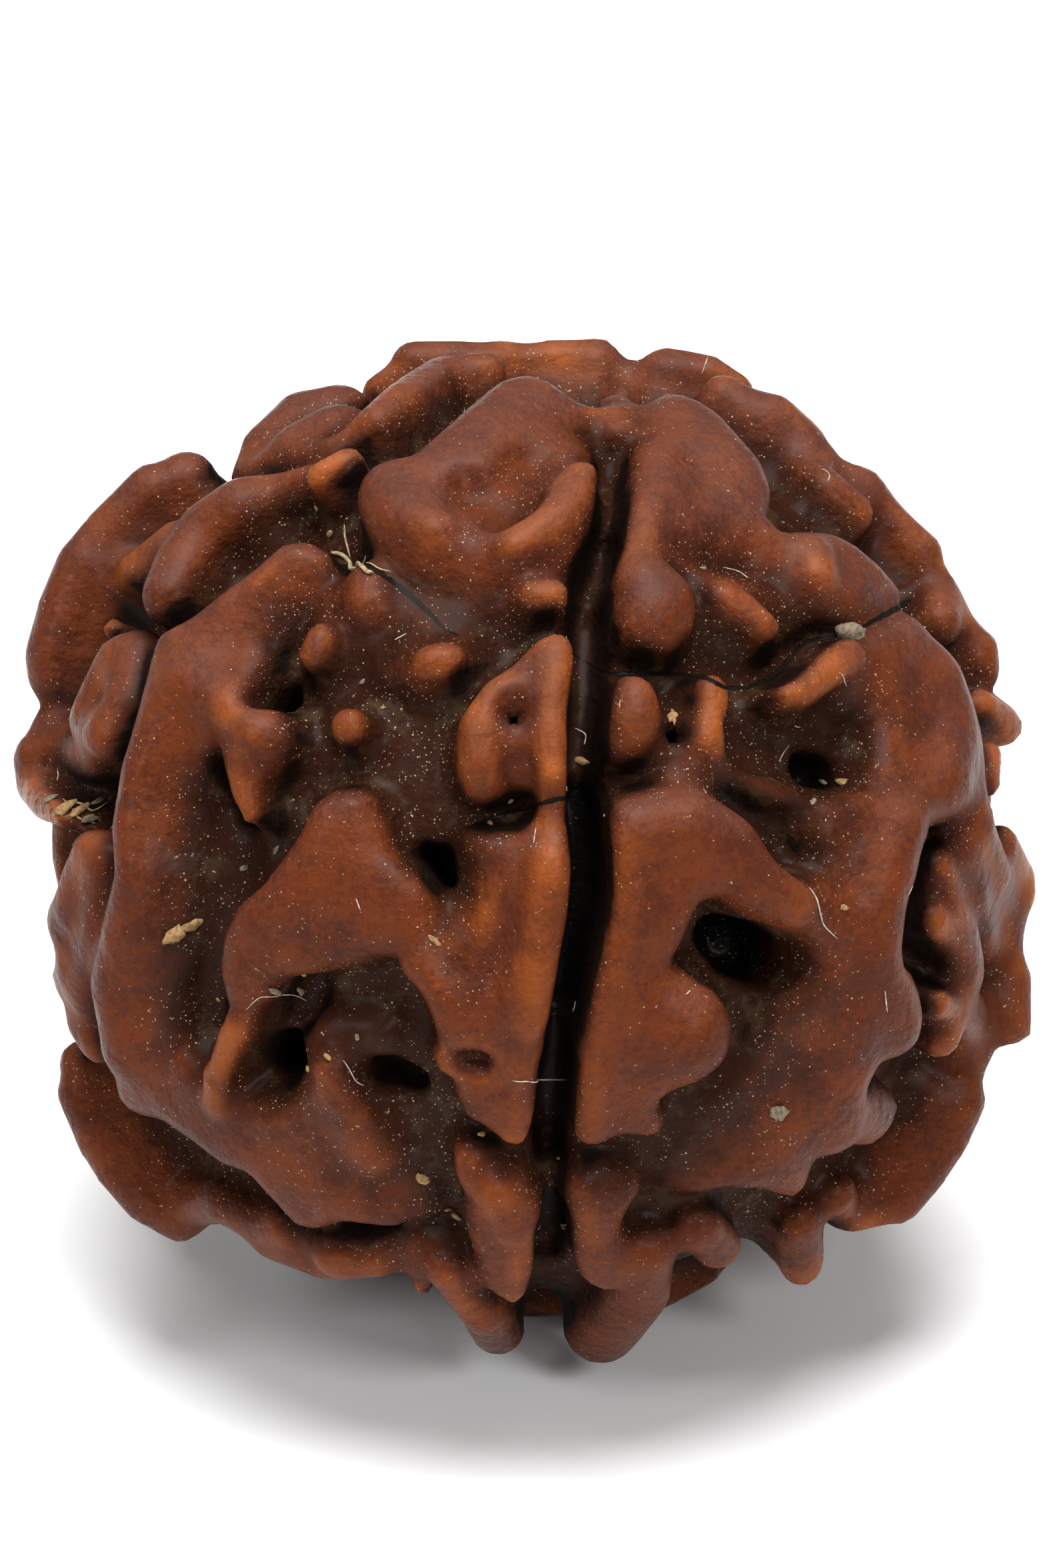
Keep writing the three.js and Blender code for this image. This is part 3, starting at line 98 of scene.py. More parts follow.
# Plates: rounding of the shoulder, then the corners round the edge as [across, up, height]
PLATES = [
    # Crown, left lobe and the saddle beside it
    [0.75, [[-4.1, 9.3, 1.5], [-3.95, 8.5, 1.7], [-3.7, 7.9, 1.6], [-3.2, 7.45, 1.5], [-2.5, 7.2, 1.4],
      [-1.8, 7.1, 1.3], [-1.0, 7.2, 1.4], [-0.3, 7.3, 1.5], [0.6, 7.4, 1.4], [1.3, 7.65, 1.5],
      [1.75, 8.2, 1.6], [1.88, 8.9, 1.6], [1.65, 9.75, 1.3], [1.9, 10.4, 0.9], [2.4, 10.7, 0.9],
      [3.0, 11.2, 1.4], [2.5, 11.35, 1.5], [1.6, 11.5, 1.6], [0.7, 12.0, 1.8], [0.1, 12.2, 1.9],
      [-0.7, 12.0, 1.9], [-1.9, 11.0, 1.9], [-2.9, 10.15, 1.9], [-3.7, 9.8, 1.7]]],
    # Crown, left lobe: the slope down to the left face
    [0.6, [[-3.3, 7.6, 1.2], [-2.8, 6.9, 0.9], [-2.4, 6.4, 0.8], [-1.8, 5.9, 0.7], [-0.9, 5.8, 0.7],
      [0.1, 6.0, 0.8], [1.0, 6.2, 0.8], [1.2, 7.4, 1.0], [0.0, 7.8, 1.2], [-2.0, 7.8, 1.2]]],
    # Crown, right lobe with its arm
    [0.75, [[2.95, 10.8, 1.3], [2.85, 9.8, 1.5], [2.7, 9.0, 1.6], [2.5, 8.3, 1.6], [2.4, 7.6, 1.6],
      [2.4, 7.0, 1.6], [2.4, 6.3, 1.7], [2.7, 5.7, 1.8], [3.3, 5.4, 1.8], [3.9, 5.4, 1.8], [4.3, 5.9, 1.7],
      [4.1, 6.6, 1.6], [3.7, 7.3, 1.4], [4.2, 7.6, 1.2], [5.0, 7.5, 1.1], [5.8, 7.35, 1.1],
      [6.5, 7.0, 1.2], [7.1, 6.6, 1.4], [7.7, 6.35, 1.5], [8.3, 6.05, 1.5], [8.8, 5.95, 1.5],
      [9.3, 6.2, 1.5], [9.8, 6.45, 1.5], [9.6, 6.8, 1.6], [8.8, 7.6, 1.7], [8.3, 8.0, 1.7],
      [7.8, 8.25, 1.7], [7.2, 8.28, 1.6], [6.6, 8.25, 1.5], [6.35, 8.5, 1.5], [6.45, 9.3, 1.7],
      [6.2, 9.9, 1.8], [5.8, 10.35, 1.8], [5.2, 11.0, 1.8], [4.6, 11.4, 1.8], [4.0, 11.65, 1.8],
      [3.5, 11.72, 1.7], [3.1, 11.45, 1.5]]],
    # Crown, the slope under the arm
    [0.6, [[4.0, 7.4, 1.1], [5.0, 7.2, 1.0], [6.0, 6.9, 1.0], [7.0, 6.4, 0.9], [7.6, 5.9, 0.7],
      [7.2, 5.5, 0.5], [6.3, 5.2, 0.5], [5.4, 5.1, 0.5], [4.7, 5.3, 0.6], [4.4, 6.0, 0.8]]],
    # Left cheek down to the plateau of the lower left
    [0.7, [[-4.9, 7.3, 1.3], [-5.1, 7.8, 1.6], [-5.6, 8.05, 1.7], [-6.2, 7.9, 1.7], [-6.8, 7.35, 1.7],
      [-7.8, 6.6, 1.7], [-8.5, 6.0, 1.7], [-8.9, 5.2, 1.7], [-9.2, 4.4, 1.7], [-9.5, 3.4, 1.7],
      [-9.95, 2.2, 1.7], [-10.3, 0.6, 1.7], [-10.15, -0.5, 1.7], [-10.4, -1.7, 1.7], [-10.8, -3.2, 1.7],
      [-10.5, -4.6, 1.7], [-10.4, -6.0, 1.7], [-9.9, -6.7, 1.6], [-9.0, -7.0, 1.5], [-8.3, -7.5, 1.5],
      [-7.6, -8.05, 1.5], [-7.0, -8.25, 1.5], [-6.4, -8.9, 1.5], [-5.8, -9.55, 1.5], [-5.2, -9.7, 1.5],
      [-4.5, -9.5, 1.5], [-3.7, -9.6, 1.4], [-2.3, -9.5, 1.0], [-1.8, -9.0, 0.6], [-2.4, -8.0, 0.6],
      [-3.1, -7.2, 0.7], [-4.0, -6.4, 0.9], [-4.8, -5.7, 1.0], [-5.4, -5.4, 0.9], [-5.8, -6.2, 1.0],
      [-6.3, -6.5, 1.2], [-7.0, -6.4, 1.2], [-7.9, -6.2, 1.3], [-8.3, -5.5, 1.2], [-8.6, -4.8, 1.0],
      [-8.9, -3.8, 1.0], [-8.6, -2.8, 0.8], [-8.4, -1.6, 0.6], [-8.4, 0.0, 0.7], [-8.35, 1.3, 0.8],
      [-8.2, 2.4, 1.2], [-7.85, 2.85, 1.4], [-7.6, 2.1, 1.2], [-7.3, 1.2, 0.7], [-6.75, 0.7, 0.4],
      [-6.65, 1.7, 1.1], [-6.35, 2.35, 1.5], [-6.1, 2.9, 1.6], [-6.3, 3.45, 1.6], [-6.85, 3.85, 1.5],
      [-6.7, 4.5, 1.2], [-6.4, 5.2, 1.0], [-5.8, 6.0, 1.0], [-5.2, 6.7, 1.1]]],
    # Left face, the slope under the crown
    [0.5, [[-5.1, 6.5, 0.8], [-4.3, 7.0, 1.0], [-3.7, 7.3, 1.1], [-3.0, 6.9, 0.9], [-2.3, 6.4, 0.8],
      [-1.5, 6.0, 0.7], [-1.0, 5.3, 0.7], [-1.2, 4.6, 0.8], [-1.7, 4.2, 0.8], [-2.6, 4.1, 0.9],
      [-3.4, 4.2, 0.8], [-3.9, 4.8, 0.6], [-4.7, 5.2, 0.6], [-5.5, 5.6, 0.7]]],
    # Left face, the broad plate
    [0.65, [[-4.3, 1.6, 1.5], [-4.9, 1.55, 1.5], [-5.4, 1.2, 1.6], [-5.7, 0.5, 1.6], [-6.1, -0.1, 1.6],
      [-6.7, -0.9, 1.7], [-7.4, -1.5, 1.7], [-7.7, -2.2, 1.7], [-7.8, -3.1, 1.7], [-7.6, -3.8, 1.6],
      [-7.1, -4.1, 1.5], [-6.7, -3.85, 1.4], [-6.3, -3.4, 1.3], [-5.6, -3.15, 1.3], [-4.8, -3.0, 1.2],
      [-4.0, -2.8, 1.2], [-3.2, -2.5, 1.4], [-3.0, -3.1, 1.5], [-2.4, -3.3, 1.5], [-1.9, -2.6, 1.1],
      [-2.15, -1.5, 1.2], [-2.4, -1.05, 1.5], [-3.0, -0.5, 1.5], [-3.5, 0.1, 1.4], [-3.7, 0.9, 1.3],
      [-3.9, 1.4, 1.4]]],
    # Left bank of the front furrow, upper piece
    [0.5, [[0.3, 5.25, 1.7], [0.85, 5.55, 1.7], [1.2, 5.35, 1.7], [1.35, 4.9, 1.7], [1.25, 4.3, 1.7],
      [1.02, 3.6, 1.7], [1.15, 2.8, 1.7], [1.15, 1.9, 1.7], [1.0, 1.27, 1.6], [0.5, 1.27, 1.6],
      [0.3, 1.65, 1.3], [-0.2, 1.75, 1.3], [-0.6, 1.45, 1.5], [-1.0, 1.28, 1.6], [-1.35, 1.55, 1.7],
      [-1.52, 2.1, 1.75], [-1.57, 2.8, 1.75], [-1.45, 3.4, 1.7], [-0.8, 4.2, 1.6], [-0.2, 4.8, 1.7]]],
    # Left bank, lower column
    [0.55, [[0.5, 1.22, 1.6], [1.0, 1.22, 1.6], [1.2, 0.6, 1.7], [1.3, 0.1, 1.7], [1.25, -0.7, 1.75],
      [1.1, -2.0, 1.8], [0.9, -3.2, 1.8], [0.7, -4.2, 1.8], [0.5, -5.0, 1.75], [0.4, -5.8, 1.7],
      [0.3, -6.8, 1.7], [0.05, -7.45, 1.6], [-0.25, -7.6, 1.6], [-0.6, -7.3, 1.5], [-1.0, -7.0, 1.5],
      [-1.4, -6.8, 1.4], [-1.65, -6.3, 1.4], [-1.75, -5.85, 1.4], [-2.15, -5.6, 1.4], [-2.3, -5.3, 1.4],
      [-2.1, -5.0, 1.5], [-2.2, -4.6, 1.6], [-2.4, -4.0, 1.6], [-2.75, -3.3, 1.6], [-3.0, -2.7, 1.5],
      [-2.4, -2.5, 1.3], [-1.6, -2.6, 1.1], [-0.9, -2.2, 1.2], [-0.7, -1.7, 1.4], [-0.65, -1.0, 1.4],
      [-0.9, -0.4, 1.3], [-1.4, 0.15, 1.2], [-1.42, 0.42, 1.2], [-0.8, 0.38, 1.3], [-0.1, 0.45, 1.4],
      [0.3, 0.75, 1.5]]],
    # Left bank, the slope between the column and the broad plate
    [0.55, [[-1.5, 0.2, 0.8], [-0.7, 0.4, 1.2], [-0.5, -1.0, 1.3], [-0.6, -2.0, 1.3], [-1.2, -2.8, 1.1],
      [-2.1, -2.7, 1.1], [-2.0, -1.7, 0.9], [-1.85, -1.0, 0.6], [-1.8, -0.4, 0.5]]],
    # Left bank, lowest piece
    [0.55, [[-1.7, -7.75, 1.5], [-1.2, -7.55, 1.3], [-0.5, -7.8, 1.1], [0.05, -8.2, 1.2], [0.35, -8.9, 1.5],
      [0.42, -9.6, 1.6], [0.38, -10.6, 1.7], [0.1, -11.35, 1.7], [-0.25, -11.52, 1.7], [-0.7, -11.3, 1.7],
      [-1.1, -10.9, 1.6], [-1.25, -10.2, 1.5], [-1.45, -9.5, 1.3], [-1.4, -8.9, 1.4], [-1.7, -8.3, 1.5]]],
    # Right bank of the front furrow
    [0.6, [[2.2, 1.1, 1.5], [2.15, 0.0, 1.7], [2.25, -1.1, 1.7], [2.05, -2.2, 1.7], [1.75, -3.3, 1.7],
      [1.5, -4.6, 1.7], [1.35, -6.0, 1.7], [1.3, -7.0, 1.6], [1.45, -7.45, 1.6], [1.8, -7.6, 1.6],
      [2.5, -7.25, 1.4], [3.1, -7.3, 1.4], [3.5, -7.25, 1.4], [3.65, -6.9, 1.4], [3.4, -6.5, 1.4],
      [3.8, -6.15, 1.5], [4.5, -5.85, 1.7], [5.05, -5.3, 1.8], [5.18, -4.5, 1.8], [4.9, -3.8, 1.7],
      [4.3, -3.3, 1.5], [3.75, -2.9, 1.4], [4.2, -2.1, 1.5], [4.5, -1.3, 1.5], [5.1, -1.05, 1.6],
      [5.8, -1.5, 1.6], [6.6, -1.85, 1.5], [7.6, -2.1, 1.4], [7.6, -1.3, 1.4], [6.9, -0.8, 1.5],
      [6.2, -0.2, 1.6], [5.8, 0.5, 1.6], [5.2, 1.0, 1.6], [4.6, 1.4, 1.5], [3.9, 1.8, 1.2], [3.0, 1.5, 1.3]]],
    # Right bank, the upper knob
    [0.65, [[2.08, 3.6, 1.5], [2.25, 4.1, 1.5], [2.7, 4.45, 1.5], [3.15, 4.3, 1.5], [3.45, 3.8, 1.6],
      [3.45, 3.2, 1.6], [3.25, 2.7, 1.5], [2.9, 2.4, 1.4], [2.4, 2.45, 1.4], [2.08, 2.9, 1.5]]],
    # Right bank, the slope between its knobs and the plate below
    [0.6, [[3.3, 3.3, 1.0], [4.3, 3.6, 0.9], [5.1, 3.4, 0.9], [5.1, 2.6, 0.9], [5.6, 2.1, 0.8],
      [6.4, 1.9, 0.8], [7.2, 1.6, 0.8], [7.3, 1.1, 0.8], [6.2, 1.3, 0.8], [5.2, 1.7, 0.8],
      [4.5, 1.5, 1.2], [3.6, 1.7, 1.1], [3.3, 2.4, 0.9]]],
    # Right bank, lowest piece
    [0.6, [[1.15, -8.2, 1.1], [2.0, -8.0, 1.0], [2.8, -8.1, 1.0], [3.05, -8.7, 1.3], [2.7, -9.2, 1.4],
      [2.5, -9.6, 1.4], [2.65, -10.2, 1.6], [2.65, -10.8, 1.6], [2.4, -11.1, 1.6], [2.0, -11.2, 1.6],
      [1.6, -11.0, 1.6], [1.3, -10.5, 1.6], [1.18, -9.8, 1.5], [1.2, -9.2, 1.5], [1.1, -8.7, 1.4]]],
    # Right cheek down to the plateau of the lower right
    [0.7, [[9.8, 6.2, 1.6], [9.2, 5.95, 1.6], [8.75, 5.6, 1.5], [8.8, 5.0, 1.4], [8.9, 4.3, 1.2],
      [8.9, 3.6, 1.0], [9.2, 2.9, 1.2], [9.2, 2.2, 1.3], [8.7, 1.6, 1.2], [7.7, 1.3, 1.0], [7.2, 0.6, 0.8],
      [7.4, -0.2, 0.8], [7.2, -0.9, 1.1], [7.1, -1.6, 1.4], [7.5, -2.2, 1.4], [7.7, -2.8, 1.3],
      [7.3, -3.4, 1.2], [6.6, -3.7, 0.9], [6.0, -4.4, 0.7], [5.7, -5.4, 0.7], [4.7, -6.2, 0.6],
      [3.9, -7.1, 0.5], [3.5, -8.0, 0.6], [3.8, -8.8, 0.8], [4.9, -8.7, 1.2], [6.0, -8.65, 1.4],
      [6.9, -8.9, 1.4],
      [7.35, -8.4, 1.4], [7.5, -7.7, 1.4], [8.1, -7.45, 1.4], [8.8, -7.6, 1.5], [9.3, -7.1, 1.5],
      [9.7, -6.4, 1.5], [9.2, -6.15, 1.5], [8.75, -5.95, 1.3], [9.0, -5.45, 1.4], [9.6, -5.25, 1.6],
      [10.0, -4.9, 1.6], [10.1, -3.7, 1.6], [9.9, -3.15, 1.5], [9.5, -2.7, 1.5], [9.5, -1.5, 1.6],
      [9.9, -0.7, 1.6], [10.0, 0.1, 1.6], [10.4, 0.6, 1.6], [11.0, 0.9, 1.6], [11.8, 0.9, 1.6],
      [11.75, 2.2, 1.6], [11.6, 3.1, 1.6], [11.2, 3.9, 1.6], [10.9, 4.5, 1.6], [10.6, 5.2, 1.6],
      [10.2, 5.8, 1.6]]],
]

# Ridges and knobs: height above the valley floor, then points [across, up, half width]
RAISED = [
    # Crown
    [1.95, [[-3.3, 8.9, 0.75], [-2.9, 8.3, 0.7], [-2.2, 8.0, 0.5]]],
    [1.85, [[-0.2, 7.6, 0.4], [0.5, 8.0, 0.48], [1.1, 8.6, 0.5], [1.5, 9.35, 0.42]]],
    [1.5, [[0.35, 6.35, 0.46], [0.75, 6.35, 0.46]]],
    [1.3, [[2.3, 11.0, 0.5], [2.35, 10.4, 0.5]]],
    [1.9, [[3.1, 6.6, 0.75], [3.4, 6.2, 0.85]]],
    [1.85, [[7.3, 7.4, 0.4], [7.4, 6.9, 0.4]]],
    [1.35, [[5.0, 6.3, 0.4], [5.5, 5.95, 0.48], [6.0, 5.6, 0.42]]],
    # Ridges round the upper pole
    [1.7, [[-3.6, 10.7, 0.5], [-3.0, 11.2, 0.55], [-2.0, 11.8, 0.6], [-0.9, 12.0, 0.5]]],
    [1.8, [[-6.3, 10.0, 0.75], [-5.4, 10.6, 0.95], [-4.6, 10.75, 0.95]]],
    [1.6, [[-5.4, 9.9, 0.9], [-4.6, 10.2, 1.0]]],
    [1.2, [[-3.4, 10.4, 0.6], [-2.6, 11.0, 0.6], [-1.8, 11.5, 0.5]]],
    [1.3, [[-4.0, 10.2, 0.5], [-4.6, 9.9, 0.5], [-6.0, 9.5, 0.6], [-6.8, 9.3, 0.5]]],
    [1.6, [[5.6, 10.6, 0.6], [6.6, 9.8, 0.6], [7.6, 9.0, 0.55], [8.3, 8.45, 0.5]]],
    [1.75, [[5.0, 11.4, 0.55], [6.0, 10.75, 0.6], [6.9, 9.9, 0.65], [7.8, 9.15, 0.6], [8.4, 8.65, 0.58]]],
    # Left cheek: crest of the rim and the branch
    [1.8, [[-8.6, 5.0, 0.6], [-8.9, 3.6, 0.65], [-9.4, 2.0, 0.6], [-9.6, 0.6, 0.6], [-9.5, -0.6, 0.65],
      [-9.8, -2.0, 0.7], [-10.0, -3.3, 0.75], [-9.8, -4.8, 0.7]]],
    [1.7, [[-8.2, 4.2, 0.55], [-7.3, 3.6, 0.5], [-6.7, 2.95, 0.5]]],
    [1.3, [[-6.95, 2.2, 0.4], [-6.95, 1.5, 0.32], [-6.8, 0.9, 0.2]]],
    # Left face, upper half: small knobs and the ledge
    [1.35, [[-5.0, 5.3, 0.42], [-5.15, 4.9, 0.45]]],
    [1.3, [[-4.3, 3.1, 0.5]]],
    [1.45, [[-2.3, 4.7, 0.44], [-1.9, 4.75, 0.45]]],
    [1.35, [[-3.9, 6.75, 0.4], [-3.85, 6.2, 0.5]]],
    # Left bank of the front furrow, upper piece
    [1.85, [[0.9, 4.9, 0.38], [0.85, 4.2, 0.3], [0.78, 3.0, 0.35], [0.78, 2.0, 0.3]]],
    [1.85, [[-0.6, 3.9, 0.35], [-1.05, 3.0, 0.4], [-1.05, 2.3, 0.38]]],
    # Left bank, lower column
    [1.9, [[0.75, -0.3, 0.4], [0.55, -1.5, 0.5], [0.35, -2.6, 0.5], [0.2, -4.0, 0.5]]],
    [1.75, [[-0.7, -8.5, 0.4], [-0.3, -9.2, 0.5]]],
    # Right bank of the front furrow
    [1.7, [[2.85, 3.95, 0.35], [2.85, 3.3, 0.4]]],
    [1.4, [[4.68, 4.0, 0.45], [4.75, 3.4, 0.48], [4.6, 2.8, 0.5]]],
    [2.0, [[4.1, -4.5, 1.0]]],
    [1.75, [[3.0, 0.6, 0.7], [4.2, 0.7, 0.7], [5.2, 0.2, 0.6], [5.9, -0.7, 0.5], [6.8, -1.35, 0.45]]],
    # Right cheek
    [1.75, [[10.2, 4.2, 0.8], [10.5, 3.0, 0.8], [10.3, 1.8, 0.8]]],
    [1.7, [[9.2, 0.5, 0.8], [8.9, -1.0, 0.7], [8.7, -2.5, 0.7], [9.2, -4.2, 0.7]]],
    [1.5, [[8.1, 4.85, 0.5], [7.6, 4.5, 0.42], [7.0, 4.0, 0.36], [6.6, 3.88, 0.26]]],
    [0.8, [[8.4, 4.6, 0.5], [7.8, 3.9, 0.6]]],
    [1.5, [[8.0, -4.2, 0.9], [7.7, -5.6, 0.9], [7.6, -6.7, 0.8]]],
    # Left face, lower left
    [1.5, [[-7.1, -4.3, 0.36], [-7.6, -5.3, 0.38], [-7.6, -6.1, 0.4]]],
    [0.6, [[-5.0, -4.3, 0.6], [-3.6, -4.5, 0.6]]],
    [1.2, [[-4.8, -5.4, 0.45], [-4.2, -6.5, 0.5], [-3.75, -7.5, 0.5]]],
]

# Lobes on slim stems, at the limb: height above the valley floor, then points
LOBES = [
    # Left limb, beyond the side furrow
    [1.8, [[-8.4, 9.25, 0.78], [-9.2, 8.95, 0.78], [-10.4, 8.15, 0.5], [-10.9, 7.1, 0.8], [-11.3, 6.0, 0.85],
      [-11.6, 4.9, 0.85], [-11.6, 4.5, 0.8]]],
    [1.5, [[-8.9, 8.15, 0.35]]],
    [1.75, [[-4.35, 9.7, 0.42], [-5.0, 9.35, 0.42]]],
    [1.3, [[-5.2, 9.1, 0.6], [-6.2, 8.8, 0.6]]],
    [1.85, [[-7.0, 8.5, 0.85], [-7.8, 7.95, 0.85], [-8.4, 7.2, 0.8], [-8.8, 6.4, 0.72]]],
    [1.7, [[-8.6, 7.7, 0.6], [-9.5, 7.1, 0.5], [-10.05, 6.65, 0.5]]],
    [1.4, [[-10.2, 5.55, 0.3]]],
    [1.7, [[-10.1, 4.7, 0.6], [-10.4, 4.0, 0.65], [-10.7, 3.3, 0.65], [-10.4, 2.9, 0.55]]],
    [1.6, [[-9.6, 4.8, 0.7], [-9.8, 3.6, 0.7], [-10.2, 2.8, 0.5]]],
    [1.75, [[-11.6, 2.9, 0.75], [-12.0, 2.3, 0.75], [-12.1, 1.7, 0.58], [-11.9, 1.2, 0.42],
      [-11.4, 0.85, 0.28]]],
    [1.3, [[-11.1, 2.6, 0.7], [-10.5, 2.3, 0.5]]],
    [0.9, [[-9.9, 7.9, 0.6], [-10.3, 6.3, 0.6], [-10.4, 5.2, 0.6]]],
    [1.55, [[-10.3, -0.2, 0.6], [-10.4, -2.0, 0.7], [-10.7, -3.6, 0.6]]],
    [1.6, [[-10.7, 0.0, 0.55], [-10.9, -0.6, 0.6]]],
    [1.7, [[-10.9, -1.4, 0.85], [-11.05, -1.7, 0.85]]],
    [1.65, [[-10.9, -2.9, 0.75], [-11.05, -3.1, 0.7]]],
    [1.6, [[-10.7, -4.2, 0.7], [-10.5, -4.7, 0.6]]],
    # Right limb, beyond the side furrow
    [1.6, [[6.4, 10.9, 0.42], [7.0, 10.3, 0.42], [7.2, 9.8, 0.4]]],
    [1.7, [[8.5, 9.05, 0.52], [8.9, 8.6, 0.45], [9.5, 7.8, 0.6], [9.95, 7.5, 0.55]]],
    [1.7, [[10.3, 6.45, 0.62], [10.4, 5.7, 0.6]]],
    [1.75, [[10.7, 5.8, 0.5], [11.3, 5.0, 0.62], [11.35, 4.6, 0.6]]],
    [1.7, [[11.4, 3.6, 0.5], [11.95, 3.2, 0.58]]],
    [1.6, [[11.6, 2.4, 0.4], [11.6, 1.7, 0.35]]],
    [1.7, [[11.9, 0.2, 0.5], [12.35, -0.6, 0.48], [12.4, -1.0, 0.45]]],
    [1.65, [[11.2, 0.6, 0.6], [11.6, -0.5, 0.6], [11.8, -1.4, 0.65], [11.75, -2.1, 0.65]]],
    [1.45, [[10.7, 0.0, 0.7], [11.0, -1.0, 0.7], [11.3, -2.2, 0.7]]],
    [1.35, [[10.3, -0.4, 0.5], [10.5, -1.4, 0.6], [10.6, -2.6, 0.7], [10.5, -3.6, 0.7], [11.0, -4.6, 0.7]]],
    [1.6, [[11.8, -1.8, 0.6], [11.85, -2.6, 0.5]]],
    [1.5, [[10.2, -1.7, 0.45], [10.8, -2.1, 0.5], [11.0, -3.0, 0.5]]],
    [1.6, [[10.4, -4.6, 0.55]]],
    [1.6, [[10.3, -3.8, 0.4], [11.3, -4.0, 0.52]]],
    [1.7, [[12.15, -3.3, 0.6], [12.2, -4.2, 0.62]]],
    [1.65, [[11.0, -5.2, 0.6], [11.0, -6.2, 0.6], [10.6, -7.1, 0.6], [10.0, -8.0, 0.6], [9.4, -8.7, 0.6],
      [8.4, -8.9, 0.55]]],
    [1.1, [[10.2, -6.2, 0.7], [9.6, -7.4, 0.7], [8.8, -8.0, 0.7]]],
    [1.5, [[7.8, -8.5, 0.55], [7.95, -8.8, 0.52]]],
    [1.6, [[6.85, -9.2, 0.62], [7.0, -10.3, 0.6]]],
    [1.6, [[4.4, -9.3, 0.6], [4.85, -9.8, 0.62]]],
    # Lower limb
    [1.7, [[-11.0, -5.3, 0.6], [-11.0, -6.0, 0.65], [-10.6, -7.1, 0.6], [-10.1, -7.9, 0.6], [-9.4, -8.7, 0.6],
      [-8.6, -9.15, 0.58]]],
    [1.5, [[-9.9, -7.0, 0.6], [-9.0, -8.3, 0.65], [-8.4, -8.7, 0.65], [-7.4, -8.7, 0.6], [-6.5, -9.2, 0.6],
      [-5.9, -9.3, 0.6]]],
    [1.5, [[-6.2, -9.7, 0.5], [-4.9, -10.15, 0.55], [-3.7, -10.1, 0.5]]],
    [1.7, [[-4.75, -9.95, 0.55]]],
    [1.1, [[-6.0, -9.2, 0.5], [-4.6, -9.7, 0.5], [-3.4, -9.8, 0.5], [-2.6, -9.6, 0.5]]],
    [1.7, [[-1.9, -10.4, 0.5], [-1.0, -11.4, 0.6], [-0.62, -11.9, 0.68]]],
    [1.2, [[-2.6, -10.2, 0.28], [-2.5, -10.9, 0.22]]],
    [1.7, [[3.1, -9.9, 0.7], [2.8, -10.9, 0.9], [2.0, -11.8, 1.0]]],
]

# Ridges seen over the edge: how far behind the outline, then points [across, up, half width]
BEHIND_EDGE = [
    [2.0, [[-3.5, 11.5, 0.5], [-2.7, 12.2, 0.6], [-1.6, 12.2, 0.6], [-0.8, 12.15, 0.6]]],
    [2.2, [[-0.2, 12.2, 0.5], [0.6, 12.3, 0.5], [1.8, 12.35, 0.5]]],
    [2.2, [[2.0, 12.0, 0.5], [2.8, 11.6, 0.55], [3.6, 12.0, 0.55]]],
    [2.0, [[3.6, 12.0, 0.6], [4.6, 11.85, 0.6], [5.3, 11.5, 0.5]]],
]

